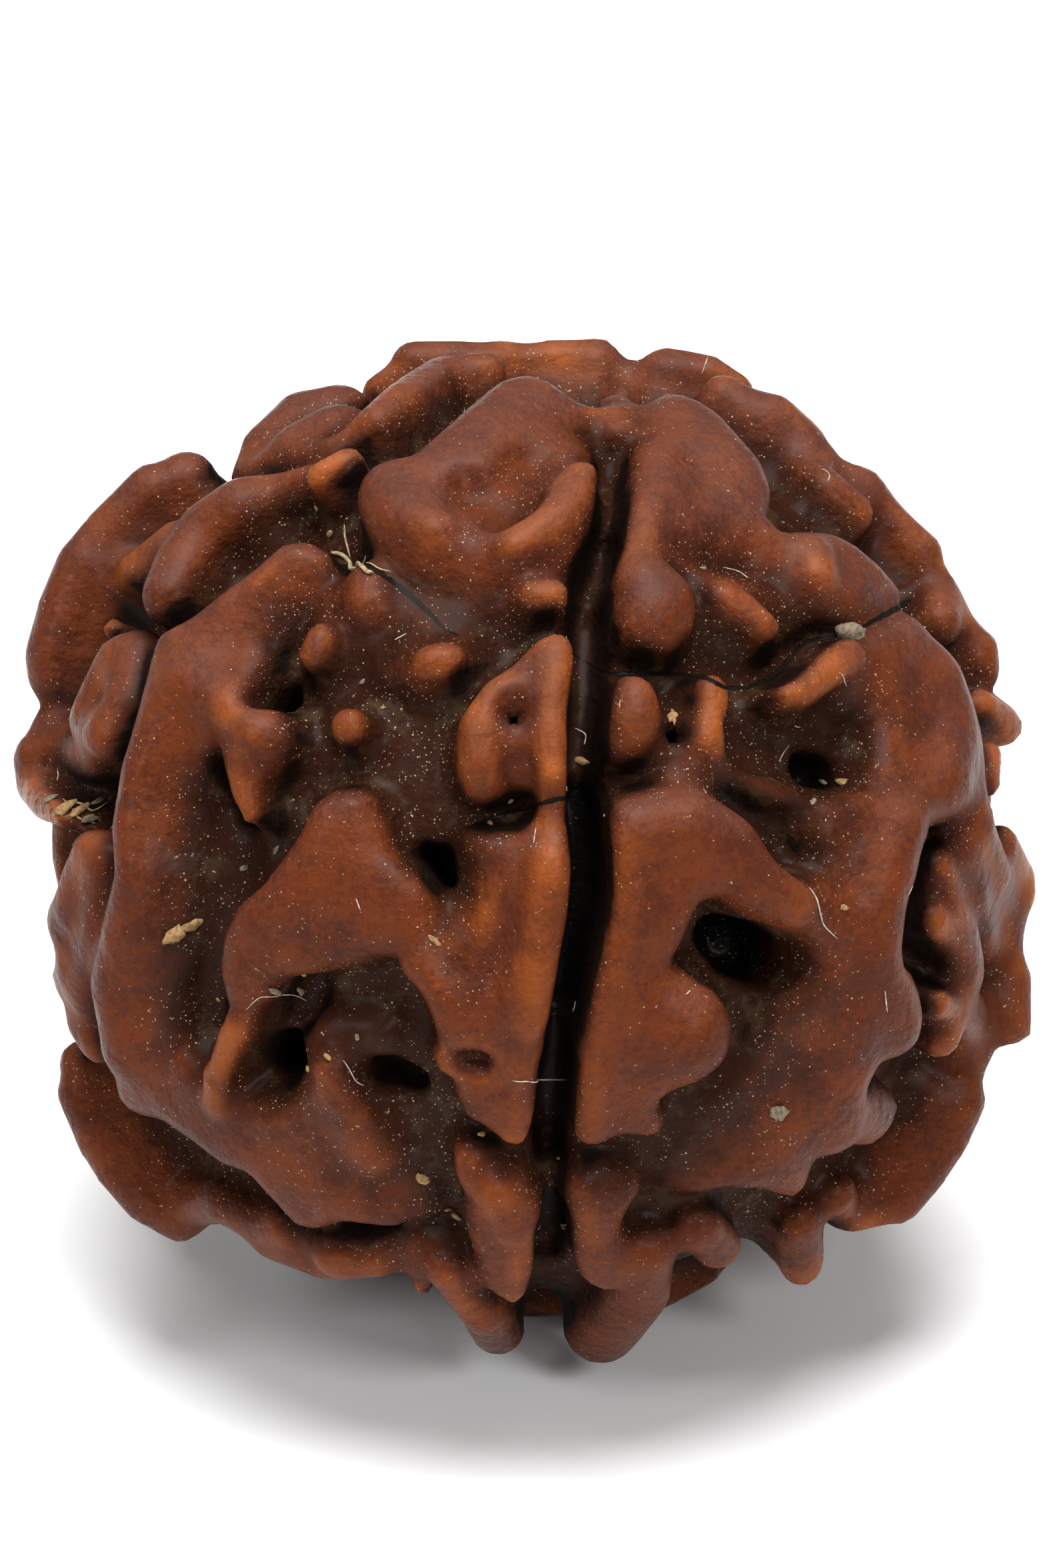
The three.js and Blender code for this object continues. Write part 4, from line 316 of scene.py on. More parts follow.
# Hollows: depth of the bottom below the valley floor, then points [across, up, half width] of the mouth
SUNK = [
    # Front furrow, from the dip between the crown lobes down to the lower edge
    [-1.2, [[2.4, 10.2, 0.3], [2.33, 9.7, 0.3]]],
    [-0.7, [[2.3, 9.3, 0.28], [2.28, 8.9, 0.3]]],
    [0.2, [[2.25, 8.55, 0.32], [2.15, 8.0, 0.38], [1.9, 7.4, 0.4]]],
    [0.5, [[1.8, 6.6, 0.42], [1.75, 5.5, 0.4], [1.75, 4.5, 0.42], [1.6, 3.3, 0.42], [1.6, 2.2, 0.42]]],
    [1.3, [[1.65, 1.6, 0.42], [1.7, 0.6, 0.45], [1.75, -0.5, 0.45], [1.68, -1.5, 0.45], [1.45, -2.5, 0.42],
      [1.25, -3.5, 0.4], [1.05, -4.5, 0.4]]],
    [0.8, [[0.95, -5.5, 0.4], [0.85, -6.5, 0.4], [0.75, -7.5, 0.4], [0.75, -8.5, 0.38]]],
    [0.8, [[0.78, -9.6, 0.38], [0.75, -10.6, 0.4], [0.6, -11.6, 0.45]]],
    # Crown: the dish of the left lobe and the faint valley of the right one
    [-1.0, [[-1.2, 9.0, 0.8], [-0.5, 8.9, 0.8], [0.3, 9.9, 0.7]]],
    [-0.95, [[-0.6, 8.5, 0.5], [-0.1, 8.8, 0.5]]],
    [-1.35, [[4.3, 9.8, 0.7], [4.5, 8.8, 0.7]]],
    # Hollow at the upper pole and the holes of the limb
    [0.2, [[1.4, 11.95, 0.4], [2.6, 11.8, 0.4]]],
    [0.6, [[6.75, 9.0, 0.35], [7.4, 8.6, 0.3]]],
    [1.2, [[-11.2, 1.25, 0.5]]],
    # Left face
    [1.4, [[-6.8, 4.0, 0.32], [-6.65, 4.4, 0.28]]],
    [1.3, [[-8.1, 2.4, 0.24], [-8.0, 1.8, 0.32], [-7.9, 1.1, 0.28]]],
    [0.3, [[-7.9, 0.4, 0.5], [-7.9, -0.6, 0.5]]],
    [1.6, [[-2.85, 0.0, 0.2], [-2.4, -0.25, 0.34], [-2.15, -0.8, 0.26]]],
    [0.4, [[-5.9, -3.8, 0.4], [-6.2, -4.6, 0.4]]],
    [1.8, [[-6.6, -5.6, 0.42], [-6.75, -6.0, 0.44]]],
    [0.7, [[-8.2, -3.9, 0.35], [-8.2, -5.0, 0.3]]],
    [0.9, [[-3.9, -6.2, 0.42], [-3.1, -6.6, 0.34]]],
    [-0.4, [[-0.9, 0.95, 0.16], [-0.2, 1.1, 0.18], [0.2, 1.25, 0.16]]],
    [-1.0, [[-1.5, -5.25, 0.18], [-1.0, -5.3, 0.2]]],
    [-0.7, [[-0.2, 3.38, 0.15]]],
    [-1.5, [[-0.2, 3.5, 0.45]]],
    [-1.3, [[-0.1, 2.0, 0.28]]],
    # Right face
    [2.2, [[5.6, -2.4, 0.5], [6.2, -2.75, 0.72], [6.8, -3.05, 0.65]]],
    [-0.1, [[4.8, -2.1, 0.4], [5.1, -2.9, 0.4]]],
    [1.3, [[8.2, 2.45, 0.4], [8.75, 2.3, 0.42]]],
    [0.2, [[5.7, 3.2, 0.5], [6.6, 2.8, 0.5]]],
    [0.3, [[4.05, 3.1, 0.2]]],
    [0.2, [[9.95, -1.5, 0.22], [9.8, -2.6, 0.3]]],
    [0.6, [[8.95, -5.8, 0.24]]],
    [0.5, [[9.75, -6.9, 0.35]]],
]

# Crumbs that lie on the stone: [across, up] of both ends, half width, shade
CRUMBS = [
    [-8.9, -2.15, -8.5, -1.95, 0.17, "tan"], [-8.5, -1.95, -8.05, -1.7, 0.15, "tan"],
    [8.05, 5.55, 8.3, 5.45, 0.3, "grey"], [6.3, -6.5, 6.5, -6.45, 0.17, "grey"],
    [1.35, 2.3, 1.62, 2.22, 0.09, "tan"], [-2.3, -2.15, -2.1, -2.3, 0.07, "tan"],
    [3.7, 3.35, 3.82, 3.42, 0.11, "tan"], [3.75, 3.48, 3.78, 3.25, 0.06, "tan"],
    [7.95, -1.4, 8.05, -1.42, 0.09, "tan"], [-11.6, 0.95, -11.3, 1.1, 0.16, "tan"],
    [-11.2, 0.9, -10.9, 1.15, 0.14, "tan"], [-11.0, 0.75, -10.7, 0.85, 0.1, "grey"],
    [-11.9, 1.25, -11.7, 1.35, 0.1, "grey"], [-10.7, 1.2, -10.5, 1.3, 0.09, "grey"],
    [-6.3, -3.4, -6.1, -3.5, 0.08, "grey"], [-5.6, -3.4, -5.5, -3.55, 0.07, "grey"],
    [-4.9, -5.1, -4.8, -5.2, 0.07, "tan"], [-1.75, -9.0, -1.6, -9.15, 0.08, "tan"],
    [-2.6, -8.1, -2.45, -8.2, 0.12, "tan"], [7.9, 1.75, 8.05, 1.7, 0.1, "tan"],
    [7.5, 1.75, 7.6, 1.7, 0.07, "grey"], [0.95, -9.3, 1.1, -9.35, 0.08, "tan"],
    [-6.2, 0.0, -6.1, 0.1, 0.07, "grey"], [-7.0, -0.4, -6.9, -0.4, 0.06, "grey"],
]
SCATTERED_CRUMBS = 150

# Fibres that lie on the stone: half thickness, shade, then points [across, up]
FIBRES = [
    [0.017, "pale", [[7.15, -0.9], [7.4, -1.4], [7.5, -1.8], [7.85, -2.15]]],
    [0.014, "pale", [[-0.25, -5.7], [0.3, -5.75], [0.9, -5.7]]],
    [0.017, "pale", [[9.05, -3.45], [9.1, -4.0]]],
    [0.014, "pale", [[-4.5, -5.2], [-4.2, -5.7], [-4.0, -5.85]]],
    [0.015, "pale", [[-4.15, -1.15], [-4.05, -1.45]]],
    [0.013, "pale", [[5.0, 7.1], [5.4, 7.0], [5.7, 6.8]]],
    [0.015, "pale", [[7.9, 4.5], [8.1, 4.15]]],
    [0.06, "straw", [[-4.75, 7.45], [-4.4, 7.3], [-4.0, 7.1], [-3.75, 6.95]]],
    [0.03, "straw", [[-4.3, 7.35], [-4.4, 7.8], [-4.45, 8.2]]],
    [0.02, "straw", [[-3.9, 7.2], [-3.6, 7.05], [-3.3, 7.0]]],
    [0.03, "straw", [[-11.7, 0.9], [-11.2, 1.2], [-10.8, 1.0], [-10.4, 1.2]]],
    [0.025, "straw", [[-11.5, 1.3], [-11.2, 0.9], [-10.7, 0.7]]],
    [0.013, "pale", [[-6.9, -3.9], [-6.5, -3.6], [-5.9, -3.55], [-5.4, -3.7]]],
    [0.013, "pale", [[0.3, 0.2], [0.35, 0.6]]],
    [0.014, "pale", [[1.3, 3.1], [1.6, 2.9], [1.5, 2.5]]],
]
SCATTERED_FIBRES = 70

# Cracks: how far round them they are known, then points [across, up, half width]
CRACK_REACH = 0.8
CRACKS = [
    [[-4.1, 7.35, 0.03], [-3.9, 7.2, 0.05], [-3.3, 6.8, 0.04], [-2.8, 6.4, 0.05], [-2.3, 5.95, 0.04],
     [-2.0, 5.6, 0.03], [-1.6, 5.4, 0.01]],
    [[1.2, 5.0, 0.0], [2.0, 4.45, 0.03], [3.2, 4.45, 0.04], [4.0, 4.45, 0.03], [4.6, 4.35, 0.04],
     [5.1, 4.1, 0.04], [5.6, 4.1, 0.03], [6.1, 4.3, 0.05], [6.5, 4.6, 0.05], [6.9, 5.1, 0.04],
     [7.2, 5.3, 0.03], [7.7, 5.35, 0.03], [8.5, 5.6, 0.03], [8.9, 5.85, 0.05], [9.3, 6.05, 0.06],
     [9.7, 6.3, 0.05]],
    [[-1.4, 0.6, 0.0], [-1.0, 0.75, 0.03], [-0.4, 0.95, 0.04], [0.4, 1.2, 0.04], [1.05, 1.35, 0.05]],
]

# How far above and below its surface the stone is felt for its cover and its edges
COVER_REACHES = {"near_cover": 0.5, "wide_cover": 1.5}
EDGE_REACH = 0.6

# A lump: rings, then roughness, quickness and latest start of its waves, and height over width
LUMP_ROWS = 6
LUMP_ROUGHNESS = 0.16
LUMP_QUICKNESS = 2.6
LUMP_LAST_START = 6.3
LUMP_FLATNESS = 0.7

# Crumbs: lift, and length past the charted ends or over the width, in half widths
CHARTED_LIFT = 0.25
CHARTED_ENDS = 0.8
SCATTERED_LIFT = 0.3
SCATTERED_LENGTH = 1.4
SCATTERED_HALF_WIDTHS = [0.025, 0.075]
VALLEY_HEIGHTS = [-0.2, 0.9]

# A strand: sides, taper, and a direction that none runs along
STRAND_SIDES = 5
STRAND_TAPER = 0.9
STRAND_ASIDE = [0.31, 0.2, 0.93]

# Scattered fibres
FIBRE_KNOTS = 8
FIBRE_HALF_LENGTHS = [0.08, 0.3]
FIBRE_BEND = 0.9
FIBRE_HALF_THICKNESS = 0.013
FIBRE_LIFT = 0.012

# Colours, as red, green, blue and alpha
RED_BROWN = (0.096, 0.0200, 0.0046, 1)
PURPLE_BROWN = (0.052, 0.0112, 0.0052, 1)
# Orange-brown of proud edges: partly the stone's own colour, partly a painted highlight
ORANGE_BROWN = (0.295, 0.073, 0.0112, 1)
# Painted highlight on the highest edges
HIGHLIGHT_BROWN = (0.46, 0.128, 0.022, 1)
# Dark brown of the valleys: partly their dirt, partly painted shade in low and covered places
VALLEY_BROWN = (0.0150, 0.0042, 0.0019, 1)
# Painted shade in the most covered recesses and the deepest pits
NEAR_BLACK = (0.0020, 0.0012, 0.0010, 1)
POWDER = (0.036, 0.022, 0.011, 1)
# Painted sheen of the light from above, laid on high places that face up
PAINTED_SHEEN = (0.52, 0.32, 0.27, 1)
SPECK = (0.34, 0.27, 0.18, 1)
LINE_BLACK = (0.004, 0.003, 0.002, 1)
SHEEN = (1.0, 0.84, 0.68, 1)
LOOSE = {
    "tan": (0.26, 0.155, 0.065, 1),
    "grey": (0.16, 0.125, 0.085, 1),
    "pale": (0.48, 0.43, 0.36, 1),
    "straw": (0.34, 0.26, 0.14, 1),
}

# Finishes: what is the same all over a surface
OILED_FINISH = {
    "Specular IOR Level": 0.05,
    "Specular Tint": SHEEN,
    "Coat Weight": 0.08,
    "Coat Roughness": 0.3,
    "Coat IOR": 1.4,
}
LOOSE_FINISH = {"Roughness": 0.85, "Specular IOR Level": 0.2}
FLOOR_FINISH = {"Base Color": (0.9, 0.9, 0.9, 1), "Roughness": 0.9}

# Dust: cells a millimetre and the size of a speck in cells, then the same of the longer
# flecks, with how their cells are stretched and turned
DUST_LAYERS = [[5.0, 0.17], [9.0, 0.24], [14.0, 0.27]]
FLECKS = [7.0, 0.18]
FLECK_STRETCH = (1.0, 0.35, 0.8)
FLECK_TURN = (0.5, 0.9, 0.3)
SPECK_SOFTNESS = 0.06

# Lights: name, place, width in metres and power in watts
LIGHTS = [
    ["overhead", (0.0, -0.04, 0.4), 0.3, 3.4],
    ["left", (-0.28, -0.26, 0.26), 0.12, 0.58],
    ["right", (0.19, -0.33, 0.26), 0.12, 0.85],
]
LIGHT_AIM = (0, 0, 0.0124)
STUDIO_STRENGTH = 0.2
FLOOR_HALF_SIDE = 1.5

# Camera: its sensor's longer side, and the frame's height in the chart's plane, in millimetres
SENSOR_SIZE = 36
FRAME_HEIGHT = 39.2


def unit(vector):
    """A vector divided by its own length."""
    vector = np.asarray(vector, dtype=float)
    return vector / np.linalg.norm(vector)


# The direction of the upper pole on the chart's own axes, and two directions square to it
POLE = unit([1.4, 12, 0.4])
SIDE = unit(np.cross(POLE, [0, 0, 1]))
FRONT = unit(np.cross(SIDE, POLE))


# Chart to body

def on_body(across, up, radius):
    """The point where the line of sight through a chart point meets a sphere round the middle,
    or the line's nearest point to the middle where it misses."""
    eye = np.array([0, CHART_EYE_UP, CHART_DISTANCE], dtype=float)
    sight = unit(np.array([across, up, 0]) - eye)
    nearest = -eye @ sight
    room = nearest**2 - eye @ eye + radius**2
    return eye + sight * (nearest - math.sqrt(max(room, 0)))


def behind_edge(across, up, depth):
    """The point of the line of sight that lies a given depth behind the outline's plane."""
    stretch = (CHART_DISTANCE + depth) / CHART_DISTANCE
    return np.array([across * stretch, CHART_EYE_UP + (up - CHART_EYE_UP) * stretch, -depth])


def to_polar(place):
    """Angle round the poles in degrees, lean towards the upper pole in radians, and radius."""
    radius = np.linalg.norm(place)
    angle = math.degrees(math.atan2(place @ SIDE, place @ FRONT))
    return angle, math.asin(place @ POLE / radius), radius


def from_polar(angle, lean, radius):
    """The place at an angle round the poles, a lean and a radius."""
    turn = math.radians(angle)
    level = SIDE * math.sin(turn) + FRONT * math.cos(turn)
    return radius * (level * math.cos(lean) + POLE * math.sin(lean))


def number_stream(seed):
    """A repeatable stream of numbers between 0 and 1: state times a constant plus another."""
    state = seed
    while True:
        state = (state * 1664525 + 1013904223) % 4294967296
        yield state / 4294967296


def raised_chain(height, points):
    """A charted ridge as places and half widths, its crest the height above the valley floor."""
    return [(on_body(a, u, FLOOR_RADIUS + height - w), w) for a, u, w in points]


def behind_chain(depth, points):
    """A ridge seen over the edge as places and half widths."""
    return [(behind_edge(a, u, depth), w) for a, u, w in points]


def sunk_chain(depth, points):
    """A charted hollow as places of its mouth and half widths, and how far its bottom, where the
    half widths end, lies from the middle."""
    return [(on_body(a, u, FLOOR_RADIUS + MOUTH_HEIGHT), w) for a, u, w in points], FLOOR_RADIUS - depth


def plate_corners(corners):
    """The corners of a charted plate as places on its top."""
    return [on_body(a, u, FLOOR_RADIUS + height) for a, u, height in corners]


def moved_place(place, from_face, to_face, upside_down, draw):
    """A place of one face set in another: the angle keeps its share of the face, the lean keeps
    its value or turns over, and both vary a little. Also whether it lies in its own face."""
    angle, lean, radius = to_polar(place)
    across = (next(draw) - 0.5) * 2 * HIDDEN_WANDER
    along = (next(draw) - 0.5) * 2 * HIDDEN_WANDER
    inside = from_face[0] < angle < from_face[1]
    share = (angle - from_face[0]) / (from_face[1] - from_face[0])
    share = min(max(share, FACE_MARGIN), 1 - FACE_MARGIN)
    step = share * (to_face[1] - to_face[0])
    new_angle = to_face[1] - step if upside_down else to_face[0] + step
    new_angle += math.degrees(across / FLOOR_RADIUS)
    new_lean = (-lean if upside_down else lean) + along / FLOOR_RADIUS
    return from_polar(new_angle, new_lean, radius), inside


def copy_face(chains, from_face, to_face, upside_down, draw):
    """A face's chains set between two other furrows, with each half width varied a little."""
    copies = []
    for chain in chains:
        run = []
        for place, width in chain:
            moved, inside = moved_place(place, from_face, to_face, upside_down, draw)
            change = 1 + (next(draw) - 0.5) * 2 * HIDDEN_WIDTH_CHANGE
            if inside and moved[2] < -HIDDEN_FROM:
                run.append((moved, width * change))
            else:
                if run:
                    copies.append(run)
                run = []
        if run:
            copies.append(run)
    return copies


def copy_plates(plates, from_face, to_face, upside_down, draw):
    """A face's plates set between two other furrows. A corner that would come to the charted
    side is held at the border of the hidden side."""
    copies = []
    for rounding, corners in plates:
        held = []
        hidden = 0
        own = 0
        for place in corners:
            moved, inside = moved_place(place, from_face, to_face, upside_down, draw)
            own += inside
            radius = np.linalg.norm(moved)
            if moved[2] < -HIDDEN_FROM:
                hidden += 1
            else:
                level = math.sqrt(radius**2 - HIDDEN_FROM**2) / math.hypot(moved[0], moved[1])
                moved = np.array([moved[0] * level, moved[1] * level, -HIDDEN_FROM])
            held.append(moved)
        if hidden > 1 and own > len(corners) / 2:
            copies.append((rounding, held))
    return copies


def furrow_chain(angle):
    """A hidden furrow from pole to pole that wavers by two slow sines."""
    chain = []
    for lean in FURROW_LEANS:
        waver = sum(size * math.sin(lean * rate + turns * angle) for size, rate, turns in FURROW_WAVERS)
        place = from_polar(angle + waver, math.radians(lean), FLOOR_RADIUS + MOUTH_HEIGHT)
        if place[2] < 0:
            chain.append((place, FURROW_HALF_WIDTH))
    return chain, FLOOR_RADIUS - FURROW_DEPTH


def foot_chain():
    """The low boss straight under the middle, where the flat spot is."""
    down = np.array([0, -TILT_COS, -TILT_SIN])
    return [(down * (FLOOR_RADIUS + FOOT_HEIGHT - FOOT_HALF_WIDTH), FOOT_HALF_WIDTH)]


def gather_relief():
    """All plates, ridges, lobes and hollows: the charted faces, the copied faces and furrows."""
    draw = number_stream(SEED)
    charted_plates = [(rounding, plate_corners(corners)) for rounding, corners in PLATES]
    charted_ridges = [raised_chain(height, points) for height, points in RAISED]
    charted_hollows = [sunk_chain(depth, points) for depth, points in SUNK]
    lobes = [raised_chain(height, points) for height, points in LOBES]
    lobes += [behind_chain(depth, points) for depth, points in BEHIND_EDGE]
    plates, ridges, hollows = charted_plates[:], charted_ridges[:], charted_hollows[:]
    left, front, right, back_right, back_left = FURROW_ANGLES
    left_face = (left, front)
    right_face = (front, right)
    for from_face, to_face, upside_down in [
        (right_face, (right, back_right), True),
        (left_face, (back_right, back_left), True),
        (right_face, (back_left, left + 360), False),
    ]:
        plates += copy_plates(charted_plates, from_face, to_face, upside_down, draw)
        ridges += copy_face(charted_ridges, from_face, to_face, upside_down, draw)
        for chain, bottom in charted_hollows:
            copies = copy_face([chain], from_face, to_face, upside_down, draw)
            hollows += [(copy, bottom) for copy in copies]
    hollows += [furrow_chain(angle) for angle in FURROW_ANGLES[3:]]
    return plates, ridges, lobes, hollows


# The body as distances on a grid

AXIS = np.arange(-HALF_SIDE, HALF_SIDE + CELL, CELL, dtype=np.float32)


def soft_min(first, second, softness):
    """The smaller of two distances, rounded where they are nearly alike."""
    near = np.maximum(softness - np.abs(first - second), 0) / softness
    return np.minimum(first, second) - near**2 * softness / 4


def grid_spots(box):
    """The grid's x, y and z in a part of it, each along its own axis."""
    x, y, z = [AXIS[part] for part in box]
    return x[:, None, None], y[None, :, None], z[None, None, :]


def box_slices(places, margin):
    """The part of the grid that holds some places and a margin round them."""
    low = np.searchsorted(AXIS, places.min(axis=0) - margin)
    high = np.searchsorted(AXIS, places.max(axis=0) + margin)
    return tuple(slice(int(a), int(b)) for a, b in zip(low, high))


def link_distance(spots, start, end, start_width, end_width, stem_share, bottom):
    """Distance to a capsule between two places. Below its crest a ridge goes straight down as a
    stem, a share of its width, and spreads a little. A hollow, which has a bottom in place of a
    stem, goes straight up from there."""
    x, y, z = spots
    radius = np.sqrt(x * x + y * y + z * z)
    span = end - start
    length_sq = max(float(span @ span), 1e-9)
    scale = np.linalg.norm(start) / radius
    along = (x * scale - start[0]) * span[0] + (y * scale - start[1]) * span[1]
    along = along + (z * scale - start[2]) * span[2]
    share = np.clip(along / length_sq, 0, 1)
    near = [start[i] + share * span[i] for i in range(3)]
    crest = np.sqrt(near[0] ** 2 + near[1] ** 2 + near[2] ** 2)
    width = start_width + share * (end_width - start_width)

    def away(fit):
        return np.sqrt((x - near[0] * fit) ** 2 + (y - near[1] * fit) ** 2 + (z - near[2] * fit) ** 2)

    if bottom:
        return away(np.maximum(radius, bottom + width) / crest) - width
    spread = np.minimum(np.maximum(crest - radius, 0) * FLANK_SPREAD, WIDEST_FOOT)
    stem = away(np.minimum(radius / crest, 1)) - width * stem_share - spread
    return np.minimum(away(1) - width, stem)


def chain_field(chain, stem_share=0.0, bottom=0.0):
    """Distance to the nearest link of a chain, on the part of the grid round it."""
    places = np.array([place for place, _ in chain])
    widths = [width for _, width in chain]
    outward = places * (HALF_SIDE / np.linalg.norm(places, axis=1))[:, None] if bottom else places
    margin = max(widths) + FORM_REACH
    whole = box_slices(np.vstack([places, outward]), margin)
    field = np.full([part.stop - part.start for part in whole], FAR_OFF, dtype=np.float32)
    for index in range(max(len(chain) - 1, 1)):
        pair = [index, min(index + 1, len(chain) - 1)]
        box = box_slices(np.vstack([places[pair], outward[pair]]), margin)
        ends = [places[at] for at in pair] + [widths[at] for at in pair]
        distance = link_distance(grid_spots(box), *ends, stem_share, bottom)
        inner = tuple(
            slice(part.start - start.start, part.stop - start.start) for part, start in zip(box, whole)
        )
        field[inner] = np.minimum(field[inner], distance)
    return whole, field


def plate_field(rounding, corners):
    """Distance to a plate on the part of the grid round it: its edge runs straight down from
    corner to corner, its top takes its height from the nearest corners, and its shoulder is
    rounded."""
    places = np.array(corners)
    tops = np.linalg.norm(places, axis=1)
    middle = unit(places.mean(axis=0))
    level = tops.mean()
    rim = places / tops[:, None] * level
    dome = (rim + middle * level) / 2
    dome = dome / np.linalg.norm(dome, axis=1)[:, None] * level
    box = box_slices(np.vstack([rim, dome, [middle * level]]), FORM_REACH)
    x, y, z = grid_spots(box)
    radius = np.sqrt(x * x + y * y + z * z)
    x, y, z = [part * level / radius for part in (x, y, z)]
    side = unit(np.cross(middle, PLATE_ASIDE))
    other_side = np.cross(middle, side)
    facing = np.maximum(x * middle[0] + y * middle[1] + z * middle[2], LEAST_FACING)
    flat_x = (x * side[0] + y * side[1] + z * side[2]) / facing
    flat_y = (x * other_side[0] + y * other_side[1] + z * other_side[2]) / facing
    nearest = np.full(radius.shape, FAR_OFF_SQUARED, dtype=np.float32)
    inside = np.zeros(radius.shape, dtype=bool)
    weights = np.zeros(radius.shape, dtype=np.float32)
    heights = np.zeros(radius.shape, dtype=np.float32)
    for index in range(len(rim)):
        start = rim[index]
        span = rim[(index + 1) % len(rim)] - start
        along = (x - start[0]) * span[0] + (y - start[1]) * span[1] + (z - start[2]) * span[2]
        share = np.clip(along / float(span @ span), 0, 1)
        away = [part - start[i] for i, part in enumerate((x, y, z))]
        gap = sum((away[i] - share * span[i]) ** 2 for i in range(3))
        nearest = np.minimum(nearest, gap)
        weight = 1 / (away[0] ** 2 + away[1] ** 2 + away[2] ** 2 + HEIGHT_BLUR) ** 2
        weights += weight
        heights += weight * tops[index]
        first, second = [
            (corner @ side / (corner @ middle), corner @ other_side / (corner @ middle))
            for corner in (start, start + span)
        ]
        if first[1] != second[1]:
            between = (first[1] > flat_y) != (second[1] > flat_y)
            crossing = first[0] + (flat_y - first[1]) * (second[0] - first[0]) / (second[1] - first[1])
            inside ^= between & (flat_x < crossing)
    top = heights / weights
    out = np.sqrt(nearest)
    out = np.where(inside & (facing > LEAST_FACING), -out, out)
    spread = np.minimum(np.maximum(top - radius, 0) * FLANK_SPREAD, WIDEST_FOOT)
    beside = out + rounding - spread
    above = radius - top + rounding
    corner_gap = np.hypot(np.maximum(beside, 0), np.maximum(above, 0))
    return box, np.minimum(np.maximum(beside, above), 0) + corner_gap - rounding


def stone_field():
    """Distance to the stone over the grid: the valley floor in slow waves, softly joined with
    every plate and ridge, softly cut by every hollow, joined with the foot, and cut flat
    where it rests."""
    x, y, z = grid_spots([slice(None)] * 3)
    radius = np.sqrt(x * x + y * y + z * z)
    safe = np.maximum(radius, 1e-3)
    wave = sum(np.sin((a * x + b * y + c * z) / safe + start) for a, b, c, start in FLOOR_WAVES)
    field = radius - FLOOR_RADIUS - FLOOR_UNEVENNESS / 2 * wave
    plates, ridges, lobes, hollows = gather_relief()
    for rounding, corners in plates:
        box, distance = plate_field(rounding, corners)
        field[box] = soft_min(field[box], distance, JOIN_SOFTNESS)
    for chains, stem_share in [(ridges, STEM_SHARE), (lobes, LOBE_STEM_SHARE)]:
        for chain in chains:
            box, distance = chain_field(chain, stem_share)
            field[box] = soft_min(field[box], distance, JOIN_SOFTNESS)
    for chain, bottom in hollows:
        box, distance = chain_field(chain, bottom=bottom)
        field[box] = -soft_min(-field[box], distance, CUT_SOFTNESS)
    box, distance = chain_field(foot_chain(), STEM_SHARE)
    field[box] = soft_min(field[box], distance, JOIN_SOFTNESS)
    level = y * TILT_COS + z * TILT_SIN + CENTRE_HEIGHT
    return np.maximum(field, -level)


def sample(field, points):
    """Values of the field at points, mixed from the eight grid corners round each."""
    place = (points + HALF_SIDE) / CELL
    base = np.clip(np.floor(place).astype(int), 0, len(AXIS) - 2)
    part = place - base
    value = np.zeros(len(points))
    for corner in range(8):
        step = np.array([corner & 1, corner >> 1 & 1, corner >> 2 & 1])
        weight = np.prod(np.where(step == 1, part, 1 - part), axis=1)
        at = base + step
        value += weight * field[at[:, 0], at[:, 1], at[:, 2]]
    return value


def slope(field, points):
    """The field's direction of fastest growth at points, of length one."""
    parts = []
    for axis in range(3):
        step = np.zeros(3)
        step[axis] = CELL
        parts.append(sample(field, points + step) - sample(field, points - step))
    grown = np.stack(parts, axis=1)
    return grown / np.maximum(np.linalg.norm(grown, axis=1), 1e-9)[:, None]


def net_surface(field):
    """A closed net over the places where the field is zero. Each grid cell that the surface
    crosses has one corner of the net, at the mean of the crossings on the cell's edges, and
    each crossed edge has one four-sided face round it."""
    inside = field < 0
    count = np.array(field.shape)
    total = np.zeros(tuple(count - 1) + (3,), dtype=np.float32)
    crossings = np.zeros(tuple(count - 1), dtype=np.float32)
    faces = []
    for axis in range(3):
        low = [slice(None)] * 3
        high = [slice(None)] * 3
        low[axis] = slice(0, -1)
        high[axis] = slice(1, None)
        first = field[tuple(low)]
        second = field[tuple(high)]
        crossed = inside[tuple(low)] != inside[tuple(high)]
        at = np.argwhere(crossed)
        share = first[crossed] / (first[crossed] - second[crossed])
        place = at.astype(np.float32)
        place[:, axis] += share
        one, two = [other for other in range(3) if other != axis]
        corner_cells = []
        for step_one, step_two in [(-1, -1), (0, -1), (0, 0), (-1, 0)]:
            cell = at.copy()
            cell[:, one] += step_one
            cell[:, two] += step_two
            np.add.at(total, tuple(cell.T), place)
            np.add.at(crossings, tuple(cell.T), 1)
            corner_cells.append(cell)
        outward = first[crossed] < 0
        ring = np.stack(corner_cells, axis=1)
        if axis == 1:
            outward = ~outward
        ring[~outward] = ring[~outward][:, ::-1]
        faces.append(ring)
    used = crossings > 0
    number = np.full(used.shape, -1, dtype=np.int64)
    number[used] = np.arange(used.sum())
    points = total[used] / crossings[used][:, None] * CELL - HALF_SIDE
    rings = np.concatenate(faces)
    quads = number[rings[..., 0], rings[..., 1], rings[..., 2]]
    return points.astype(float), quads


def settle(field, points, rounds=3):
    """Points moved along the slope until the field there is zero."""
    for _ in range(rounds):
        step = np.clip(sample(field, points), -CELL / 2, CELL / 2)
        points = points - slope(field, points) * step[:, None]
    return points


def stand_up(points):
    """Chart places in the frame: tilted back by the chart's elevation, raised, and in metres."""
    x, y, z = points.T
    back = y * TILT_SIN - z * TILT_COS
    high = y * TILT_COS + z * TILT_SIN
    placed = np.stack([x + CENTRE_ACROSS, back + CENTRE_BACK, high + CENTRE_HEIGHT], axis=1)
    placed[:, 2] = np.maximum(placed[:, 2], 0)
    return placed * MILLIMETRE


def place_object(name, data):
    """A new object in the scene's own collection."""
    thing = bpy.data.objects.new(name, data)
    bpy.context.scene.collection.objects.link(thing)
    return thing


